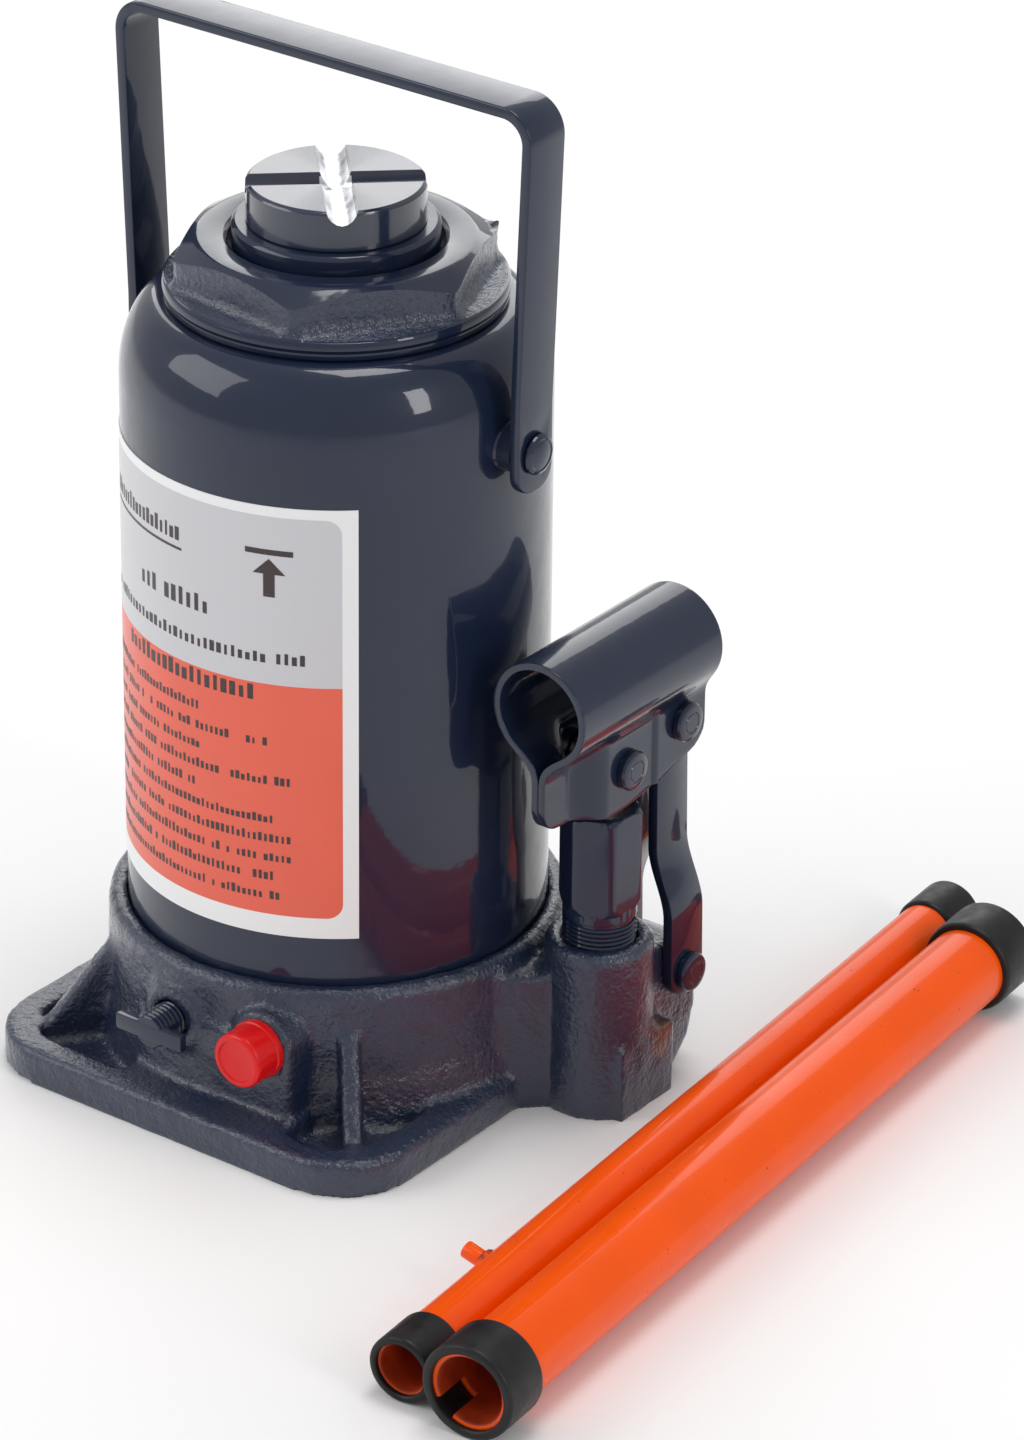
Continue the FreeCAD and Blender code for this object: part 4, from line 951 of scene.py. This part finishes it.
class JackRam(bpy.types.Operator):
    """Ram, extension screw and its cross-grooved saddle"""

    bl_idname = "bottle_jack.ram"
    bl_label = "Ram and extension screw"

    def execute(self, context):
        body = [(0, 16.0), (25.0, 16.0), (25.0, 19.0), (26.0, 20.0), (26.0, 27.0), (29.7, 27.0), (29.7, 30.0),
                (27.5, 30.0), (27.5, 36.0), (29.7, 36.0), (29.7, 40.0), (26.3, 43.0), (26.3, 224.5),
                (26.3, 230.3), (25.9, 230.9), (25.3, 231.3), (18.9, 231.3), (18.3, 230.7), (18.3, 209.3),
                (20.2, 209.3), (20.2, 142.3), (0, 142.3)]
        areas = [1 if 12 <= k <= 17 else 0 for k in range(len(body))]
        add_piece("ram_rod", lathe("ram", body, 160, areas=areas), "ram",
                  ["bright_steel", "gloss_paint"], ["ram"])
        self.screw()
        return {"FINISHED"}

    def screw(self):
        head = lathe("head", [(0, 231.32), (15.2, 231.32), (22.4, 231.32), (22.75, 231.7), (22.75, 236.0),
                              (22.75, 241.0), (22.5, 241.5), (21.8, 242.0), (12.0, 242.0), (0, 242.0)], 160)
        painted = groove_cutter(42.0, 3.4, 0.0)
        bare = groove_cutter(-48.0, 3.6, 0.05)
        saddle = carved(head, [painted, bare])
        place = Matrix.Rotation(math.radians(48.0), 3, "Z")
        for face in saddle.polygons:
            at = place @ (face.center / MM)
            low = at.z < 241.3 and math.hypot(at.x, at.y) < 22.6 and face.normal.z > 0.05
            face.material_index = 1 if low and abs(at.y) < 4.3 else 0
        shank = lathe("shank", [(0, 145.3), (13.0, 145.3), (13.0, 146.0), (12.0, 146.0), (12.0, 149.3),
                                (15.2, 149.3), (15.2, 231.32), (0, 231.32)], 96)
        ridge = thread(18.0, 2.8, sizes().screw_pitch / MM, 71.0, (0, 0, 152.5), "bright_steel")
        add_piece("saddle_head", saddle, "extension_screw", ["saddle_paint", "bare_groove"],
                  ["extension_screw"], angle=24.0)
        add_piece("extension_screw_shank", shank, "extension_screw", ["bright_steel"])
        add_piece("extension_screw_thread", ridge, "extension_screw", ["bright_steel"])


# ------------------------------------------------------------------ hand pump

def barrel_profile(angle):
    """Section of the pump barrel: threaded root, collar, hexagon and gland pocket."""
    side = hex_reach(angle, 19.0, 24.5, 0.5)
    profile = [(6.06, 24.0), (8.9, 24.0), (8.9, 54.2), (9.25, 54.4), (9.65, 54.8), (9.65, 57.0)]
    for z in (57.3, 57.9, 58.5, 59.1, 59.6, 60.0):
        profile.append((min(side, 9.65 + (z - 57.0) * 0.48), z))
    profile.append((side, 61.0))
    profile.append((side, 70.0))
    for z in (83.2, 83.8, 84.4, 84.8):
        profile.append((min(side, 9.5 + (85.0 - z) * 1.3), z))
    return profile + [(9.3, 85.0), (8.2, 85.0), (8.2, 81.0), (6.06, 81.0)]


def pin(name, centre, half, body, node):
    """Headed pin along X with faint turned steps on its heads."""
    y, z = centre
    head = [(4.0, 0), (5.1, 0.1), (5.3, 0.5), (5.3, 1.7), (4.9, 2.3), (4.3, 2.55), (3.1, 2.6), (2.9, 2.45),
            (2.6, 2.45), (2.4, 2.6), (0, 2.62)]
    right = [(r, half + d) for r, d in head]
    left = [(r, -half - d) for r, d in reversed(head)]
    mesh = lathe(name, left + right, 64, (PUMP.x, y, z), (1, 0, 0))
    add_piece(name, mesh, body, ["gloss_paint"], [node])


class JackPump(bpy.types.Operator):
    """Pump barrel with its thread and the three pins"""

    bl_idname = "bottle_jack.pump"
    bl_label = "Hand pump"

    def execute(self, context):
        barrel = lathe("barrel", barrel_profile, 240, PUMP)
        ridge = thread(9.6, 0.75, sizes().barrel_pitch / MM, 28.6, PUMP + Vector((0, 0, 25.2)), "gloss_paint")
        add_piece("pump_barrel_body", barrel, "jack_body", ["gloss_paint"],
                  ["pump_barrel"], angle=22.0)
        add_piece("pump_barrel_thread", ridge, "jack_body", ["gloss_paint"])
        pin("plunger_pin_body", PLUNGER_PIN, 8.3, "socket", "plunger_pin")
        pin("link_top_pin_body", LINK_TOP_PIN, 9.3, "links", "link_top_pin")
        pin("link_base_pin_body", LINK_BASE_PIN, 11.25, "jack_body", "link_base_pin")
        return {"FINISHED"}


# ------------------------------------------------------------------ linkage

def ease(value, low, high):
    t = min(1.0, max(0.0, (value - low) / (high - low)))
    return t * t * (3.0 - 2.0 * t)


def link_strip(name, sign):
    """Flat strip with a soft joggle half way down."""
    y0, z0 = LINK_BASE_PIN
    y1, z1 = LINK_TOP_PIN
    lean = math.atan2(y1 - y0, z1 - z0)
    outline = []
    for centre, radius, start in (((y1, z1), 6.6, 0.0), ((y0, z0), 7.0, math.pi)):
        for k in range(25):
            turn = start + math.pi * k / 24.0 - lean
            outline.append((centre[0] + radius * math.cos(turn), centre[1] + radius * math.sin(turn)))
    form = bmesh.new()
    corners = [form.verts.new((0.0, y, z)) for y, z in outline]
    face = form.faces.new(corners)
    pushed = bmesh.ops.extrude_face_region(form, geom=[face])["geom"]
    bmesh.ops.translate(form, vec=(3.0, 0, 0), verts=[g for g in pushed if isinstance(g, bmesh.types.BMVert)])
    bmesh.ops.recalc_face_normals(form, faces=form.faces)
    rim = [e for e in form.edges if e.calc_face_angle(0.0) > 1.0]
    bmesh.ops.bevel(form, geom=rim, offset=0.45, segments=2, affect="EDGES", profile=0.5)
    for k in range(31):
        z = 42.0 + k
        bmesh.ops.bisect_plane(form, geom=form.verts[:] + form.edges[:] + form.faces[:],
                               plane_co=(0, 0, z), plane_no=(0, 0, 1))
    for vertex in form.verts:
        offset = 3.0 + 5.1 * (1.0 - ease(vertex.co.z, 47.0, 67.0))
        vertex.co.x = PUMP.x + sign * (offset + vertex.co.x)
    bmesh.ops.recalc_face_normals(form, faces=form.faces)
    for vertex in form.verts:
        vertex.co *= MM
    mesh = bpy.data.meshes.new(name)
    form.to_mesh(mesh)
    form.free()
    return mesh


EAR_EDGE = (
    (-14.9, 94.0), (-14.4, 92.0), (-13.4, 90.2), (-12.0, 88.9), (-10.0, 88.2), (-7.0, 87.9), (-3.0, 87.9),
    (0.0, 87.8), (3.0, 87.4), (6.0, 87.1), (10.0, 87.1), (14.0, 87.4), (18.0, 88.0), (22.0, 88.8),
    (27.0, 90.1), (32.0, 91.5), (36.0, 92.4), (40.0, 93.5), (42.4, 95.0), (43.8, 96.9), (44.5, 99.5),
)


def ear_edge(y):
    """Height of the lower edge of the ears at y."""
    for (y0, z0), (y1, z1) in zip(EAR_EDGE, EAR_EDGE[1:]):
        if y <= y1:
            return z0 + (z1 - z0) * (y - y0) / (y1 - y0)
    return EAR_EDGE[-1][1]


def socket_section(y):
    """Middle line of the rolled sheet at y, from one ear's edge over the tube to the other's."""
    spread = ease(y, -4.6, 4.2)
    ear = 1.02 + 6.28 * spread + 0.9 * ease(y, 22.6, 24.0)
    below = math.radians(52.0 - 20.0 * spread)
    knee = 101.5 + 5.5 * spread
    radius = 13.2
    start = Vector((radius * math.cos(below), SOCKET_Z - radius * math.sin(below)))
    way = Vector((-math.sin(below), -math.cos(below)))
    end = Vector((ear, knee))
    reach = (start - end).length * 0.42
    low = ear_edge(y)
    side = [Vector((ear, low + (knee - low) * k / 8.0)) for k in range(8)]
    for k in range(9):
        t = k / 9.0
        a = end
        b = end + Vector((0, reach))
        c = start + way * reach
        side.append(a * (1 - t) ** 3 + b * 3 * t * (1 - t) ** 2 + c * 3 * t * t * (1 - t) + start * t ** 3)
    arc = []
    for k in range(57):
        turn = -below + (math.pi + 2 * below) * k / 56.0
        arc.append(Vector((radius * math.cos(turn), SOCKET_Z + radius * math.sin(turn))))
    left = [Vector((-p.x, p.y)) for p in reversed(side)]
    return side + arc + left


def socket_sheet():
    """Rolled sheet: a tube above, pinched ears in front, spread ears behind."""
    rows = [-14.9 + 0.9 * k for k in range(8)] + [-7.0 + 0.6 * k for k in range(26)]
    rows += [8.6 + 1.6 * k for k in range(9)] + [22.4 + 0.4 * k for k in range(6)]
    rows += [25.6 + 1.6 * k for k in range(11)] + [43.0, 43.8, 44.5]
    rows = sorted(set(round(y, 3) for y in rows))
    points = []
    for y in rows:
        for at in socket_section(y):
            points.append(Vector((PUMP.x + at.x, y, at.y)) * MM)
    count = len(socket_section(0.0))
    faces = []
    for r in range(len(rows) - 1):
        for k in range(count - 1):
            a = r * count + k
            faces.append((a, a + 1, a + count + 1, a + count))
    mesh = bpy.data.meshes.new("socket")
    mesh.from_pydata(points, [], faces)
    form = bmesh.new()
    form.from_mesh(mesh)
    bmesh.ops.recalc_face_normals(form, faces=form.faces)
    form.to_mesh(mesh)
    form.free()
    return with_modifiers(
        mesh,
        ("SOLIDIFY", {"thickness": 0.002, "offset": 0.0, "use_even_offset": True}),
        ("BEVEL", {"width": 0.0006, "segments": 3, "limit_method": "ANGLE", "angle_limit": math.radians(50)}))


class JackLinkage(bpy.types.Operator):
    """Lever socket rolled from sheet and the two bent links"""

    bl_idname = "bottle_jack.linkage"
    bl_label = "Lever socket and links"

    def execute(self, context):
        add_piece("lever_socket_sheet", socket_sheet(), "socket", ["gloss_paint"],
                  ["lever_socket"], angle=40.0)
        add_piece("link_strip_left", link_strip("left", -1), "links", ["gloss_paint"],
                  ["link_plate_left"], angle=40.0)
        add_piece("link_strip_right", link_strip("right", 1), "links", ["gloss_paint"],
                  ["link_plate_right"], angle=40.0)
        return {"FINISHED"}


# ------------------------------------------------------------------ bail

class JackBail(bpy.types.Operator):
    """Bail handle with softened strip edges"""

    bl_idname = "bottle_jack.bail"
    bl_label = "Bail handle"

    def execute(self, context):
        mesh = rounded(cad_copy("bail_handle"), sizes().edge_round, 3)
        add_piece("bail_strip", mesh, "bail", ["gloss_paint"], ["bail_handle"], angle=30.0)
        return {"FINISHED"}


# ------------------------------------------------------------------ valves

class JackValves(bpy.types.Operator):
    """Release screw with its cross bar and the red overload cap"""

    bl_idname = "bottle_jack.valves"
    bl_label = "Valves"

    def execute(self, context):
        profile = [(0, 0.12), (4.2, 0.12), (4.5, 0.4), (4.5, 18.8), (3.9, 18.8), (3.9, 19.9), (2.8, 20.2),
                   (2.8, 23.5), (0, 23.8)]
        stem = lathe("stem", profile, 64, RELEASE, (0, 1, 0))
        upright = thread(4.9, 0.6, 1.5, 15.0, (0, 0, 1.2), "gloss_paint")
        turned = aim(RELEASE * MM, Vector((0, 1, 0)))
        upright.transform(turned)
        add_piece("release_stem", stem, "release_valve", ["gloss_paint"], ["release_screw"])
        add_piece("release_thread", upright, "release_valve", ["gloss_paint"])
        bar = rounded(cad_copy("release_tommy_bar"), BAR_EDGE, 2)
        add_piece("release_bar", bar, "release_valve", ["gloss_paint"], ["release_tommy_bar"])
        cap = [(0, 0.55), (5.2, 0.55), (5.5, 0.45), (5.7, 0.1), (6.0, 0.0), (6.7, 0.1), (7.2, 0.4),
               (7.45, 0.9),
               (7.5, 1.6), (7.5, 7.6), (7.9, 7.9), (7.9, 9.7), (7.5, 9.8), (4.7, 9.8), (4.7, 11.2), (0, 11.2)]
        add_piece("red_cap", lathe("cap", cap, 96, OVERLOAD, (0, 1, 0)), "jack_body",
                  ["red_plastic"], ["overload_cap"], angle=40.0)
        return {"FINISHED"}


# ------------------------------------------------------------------ levers

def lever_tube(name, near, length, outer, inner, notch=None):
    """Tube along the lever's axis; notch is (middle angle, half width, depth) at its near end."""
    middle = (outer + inner) / 2
    place = aim(near, LEVER_AXIS)
    columns = 120
    stops = [1.5, 2.5, 4.0, 6.0, 8.5, 10.5, 12.0, 13.5, 16.0, 30.0, 60.0, 120.0, 200.0,
             length - 16.0, length - 1.5]
    points = []
    for d in stops:
        for k in range(columns):
            angle = 2 * math.pi * k / columns
            points.append(place @ Vector((middle * math.cos(angle), middle * math.sin(angle), d)) * MM)
    faces = []
    for s in range(len(stops) - 1):
        for k in range(columns):
            angle = 360.0 * (k + 0.5) / columns
            if (notch and stops[s + 1] <= notch[2] + 1.5
                    and abs((angle - notch[0] + 180) % 360 - 180) < notch[1]):
                continue
            a = s * columns + k
            b = s * columns + (k + 1) % columns
            faces.append((a, b, b + columns, a + columns))
    mesh = bpy.data.meshes.new(name)
    mesh.from_pydata(points, [], faces)
    form = bmesh.new()
    form.from_mesh(mesh)
    bmesh.ops.recalc_face_normals(form, faces=form.faces)
    loose = [v for v in form.verts if not v.link_faces]
    bmesh.ops.delete(form, geom=loose, context="VERTS")
    form.to_mesh(mesh)
    form.free()
    solid = with_modifiers(
        mesh,
        ("SOLIDIFY", {"thickness": (outer - inner) * MM, "offset": 0.0, "use_even_offset": True}),
        ("BEVEL", {"width": 0.0004, "segments": 2, "limit_method": "ANGLE", "angle_limit": math.radians(50)}))
    origin = near * MM
    for face in solid.polygons:
        gap = face.center - origin
        reach = (gap - LEVER_AXIS * gap.dot(LEVER_AXIS)).length
        face.material_index = 1 if reach < middle * MM - 0.0002 else 0
    return solid


def rubber_cap(name, end, direction, cap, tube, mouth, body, node):
    """Rubber sleeve with a rounded rolled lip over the tube's end."""
    profile = [(mouth, 0.35), (mouth + 0.35, 0), (cap - 1.1, 0), (cap - 0.45, 0.2), (cap - 0.1, 0.6),
               (cap, 1.2),
               (cap, 13.6), (cap - 0.15, 14.3), (cap - 0.55, 14.8), (tube + 0.15, 15.0), (tube - 0.25, 14.8),
               (tube - 0.25, 1.5), (mouth, 1.5)]
    add_piece(name, lathe(name, profile, 120, end, direction), body, ["black_rubber"], [node],
              angle=35.0)


class JackLevers(bpy.types.Operator):
    """Two lever tubes with their rubber caps and the peg"""

    bl_idname = "bottle_jack.levers"
    bl_label = "Lever tubes"

    def execute(self, context):
        thick = lever_tube("thick", THICK_NEAR, 261.8, 11.0, 9.0, (140.0, 16.0, 10.5))
        thin = lever_tube("thin", THIN_NEAR, 274.4, 8.0, 6.4)
        add_piece("thick_tube", thick, "thick_lever", ["orange_enamel", "tube_inside"],
                  ["thick_lever_tube"], angle=40.0)
        add_piece("thin_tube", thin, "thin_lever", ["orange_enamel", "tube_inside"],
                  ["thin_lever_tube"], angle=40.0)
        for size, near, length, cap, tube, mouth in (("thick", THICK_NEAR, 261.8, 12.8, 11.0, 10.3),
                                                      ("thin", THIN_NEAR, 274.4, 9.0, 8.0, 7.0)):
            body = size + "_lever"
            rubber_cap(size + "_cap_near", near, LEVER_AXIS, cap, tube, mouth, body, size + "_lever_cap_near")
            rubber_cap(size + "_cap_far", near + LEVER_AXIS * length, -LEVER_AXIS, cap, tube, mouth, body,
                       size + "_lever_cap_far")
        self.peg()
        return {"FINISHED"}

    def peg(self):
        lift = math.radians(18.0)
        out = Vector((-math.cos(lift), -math.sin(LEVER_TURN) * math.cos(lift), math.sin(lift)))
        root = THIN_NEAR + LEVER_AXIS * 50.0
        bar = [(0, 6.0), (2.3, 6.0), (2.3, 13.4), (2.1, 13.8), (1.7, 14.0), (0, 14.0)]
        weld = [(0, 6.6), (3.4, 6.9), (3.5, 7.7), (3.1, 8.5), (2.5, 8.9), (2.2, 9.1), (0, 9.1)]
        add_piece("peg_bar", lathe("peg", bar, 40, root, out), "thin_lever",
                  ["orange_enamel"], ["lever_peg"])
        add_piece("peg_weld", lathe("weld", weld, 40, root, out), "thin_lever", ["weld_burn"])


# ------------------------------------------------------------------ inner pieces

KEPT = {
    "bright_steel": ("pump_plunger", "suction_ball", "delivery_ball", "release_ball", "overload_ball",
                     "overload_spring", "overload_screw", "seal_retaining_ring", "screw_stop_ring",
                     "delivery_valve_cage", "suction_strainer"),
    "cylinder_steel": ("pressure_cylinder",),
    "bearing_bronze": ("ram_guide_ring", "piston_guide_ring"),
    "copper_washer": ("cylinder_gasket", "barrel_washer"),
    "seal_rubber": ("tank_bottom_seal", "tank_top_seal", "ram_wiper_seal", "piston_seal",
                    "plunger_gland_seal", "plunger_cup_seal", "release_seal"),
}


class JackInnerPieces(bpy.types.Operator):
    """Finishes of the pieces that stay as they are in the frame"""

    bl_idname = "bottle_jack.inner_pieces"
    bl_label = "Inner pieces"

    def execute(self, context):
        for name, nodes in KEPT.items():
            for node in nodes:
                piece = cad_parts[node]
                for slot in piece.material_slots:
                    slot.material = finish(name)
        return {"FINISHED"}


# ------------------------------------------------------------------ stage

def softbox(name, place, target, width, height, power):
    lamp = bpy.data.lights.new(name, "AREA")
    lamp.shape = "RECTANGLE"
    lamp.size = width
    lamp.size_y = height
    lamp.energy = power
    holder = bpy.data.objects.new(name, lamp)
    holder.location = place
    holder.rotation_euler = (Vector(target) - Vector(place)).to_track_quat("-Z", "Y").to_euler()
    bpy.context.collection.objects.link(holder)


def stage_camera():
    """Camera to the right of the front, a little above."""
    turn = math.radians(36.679)
    lift = math.radians(27.172)
    roll = math.radians(0.607)
    back = Vector((math.sin(turn) * math.cos(lift), -math.cos(turn) * math.cos(lift), math.sin(lift)))
    right = Vector((math.cos(turn), math.sin(turn), 0.0))
    up = back.cross(right)
    place = Vector((0.0, 0.0, 0.120)) + back * 1.70009 + right * 0.045101 - up * 0.025806
    lens = bpy.data.cameras.new("camera")
    lens.sensor_fit = "VERTICAL"
    lens.sensor_height = 36.0
    lens.lens = 165.41
    lens.clip_end = 20.0
    holder = bpy.data.objects.new("camera", lens)
    rolled_right = right * math.cos(roll) + up * math.sin(roll)
    rolled_up = up * math.cos(roll) - right * math.sin(roll)
    pose = Matrix((rolled_right, rolled_up, back)).transposed().to_4x4()
    holder.matrix_world = Matrix.Translation(place) @ pose
    bpy.context.collection.objects.link(holder)
    bpy.context.scene.camera = holder


def floor_finish():
    material, tree, shader, place = new_finish("floor_paper", 0.75, specular=0.2)
    drift = remap(tree, grain(tree, place, 0.35, 2.0), 0.0, 1.0)
    feed(shader, "Base Color", blend(tree, drift, (0.93, 0.93, 0.93), (0.95, 0.95, 0.95)))
    return material


class JackStage(bpy.types.Operator):
    """Pale floor, soft lamps and the camera"""

    bl_idname = "bottle_jack.stage"
    bl_label = "Stage"

    def execute(self, context):
        scene = context.scene
        scene.view_settings.view_transform = "Standard"
        world = bpy.data.worlds.new("studio")
        world.use_nodes = True
        world.node_tree.nodes["Background"].inputs["Color"].default_value = (1.0, 1.0, 1.0, 1.0)
        world.node_tree.nodes["Background"].inputs["Strength"].default_value = 0.52
        scene.world = world
        mesh = bpy.data.meshes.new("floor")
        mesh.from_pydata([(-4, -4, 0), (4, -4, 0), (4, 4, 0), (-4, 4, 0)], [], [(0, 1, 2, 3)])
        mesh.materials.append(floor_finish())
        floor = bpy.data.objects.new("floor", mesh)
        context.collection.objects.link(floor)
        softbox("lamp_left", (-0.9, -0.9, 0.9), (0.0, 0.0, 0.12), 1.0, 0.9, 7.0)
        softbox("lamp_right", (1.6, -0.2, 0.8), (0.0, 0.0, 0.12), 0.30, 0.8, 5.0)
        softbox("lamp_top", (0.1, 0.2, 1.5), (0.0, 0.0, 0.1), 0.6, 0.6, 6.5)
        softbox("lamp_back", (-1.05, 1.4, 1.00), (0.0, 0.0, 0.15), 1.5, 1.0, 9.5)
        stage_camera()
        return {"FINISHED"}


# ------------------------------------------------------------------ panel and registration

OPERATORS = (JackBase, JackTank, JackNut, JackRam, JackPump, JackLinkage, JackBail, JackValves, JackLevers,
             JackInnerPieces, JackStage)


class JackPanel(bpy.types.Panel):
    """Lists the pieces of the bottle jack"""

    bl_idname = "VIEW3D_PT_bottle_jack"
    bl_label = "Bottle Jack"
    bl_space_type = "VIEW_3D"
    bl_region_type = "UI"
    bl_category = "Bottle Jack"

    def draw(self, context):
        column = self.layout.column()
        for group in (context.scene.jack_finishes, context.scene.jack_sizes):
            for key in group.__annotations__:
                column.prop(group, key)
        for operator in OPERATORS:
            column.operator(operator.bl_idname)


CLASSES = (JackFinishes, JackSizes, *OPERATORS, JackPanel)


def register():
    for item in CLASSES:
        bpy.utils.register_class(item)
    bpy.types.Scene.jack_finishes = PointerProperty(type=JackFinishes)
    bpy.types.Scene.jack_sizes = PointerProperty(type=JackSizes)


def unregister():
    del bpy.types.Scene.jack_sizes
    del bpy.types.Scene.jack_finishes
    for item in reversed(CLASSES):
        bpy.utils.unregister_class(item)


def main():
    register()
    for operator in OPERATORS:
        group, name = operator.bl_idname.split(".")
        getattr(getattr(bpy.ops, group), name)()


if __name__ == "__main__":
    main()
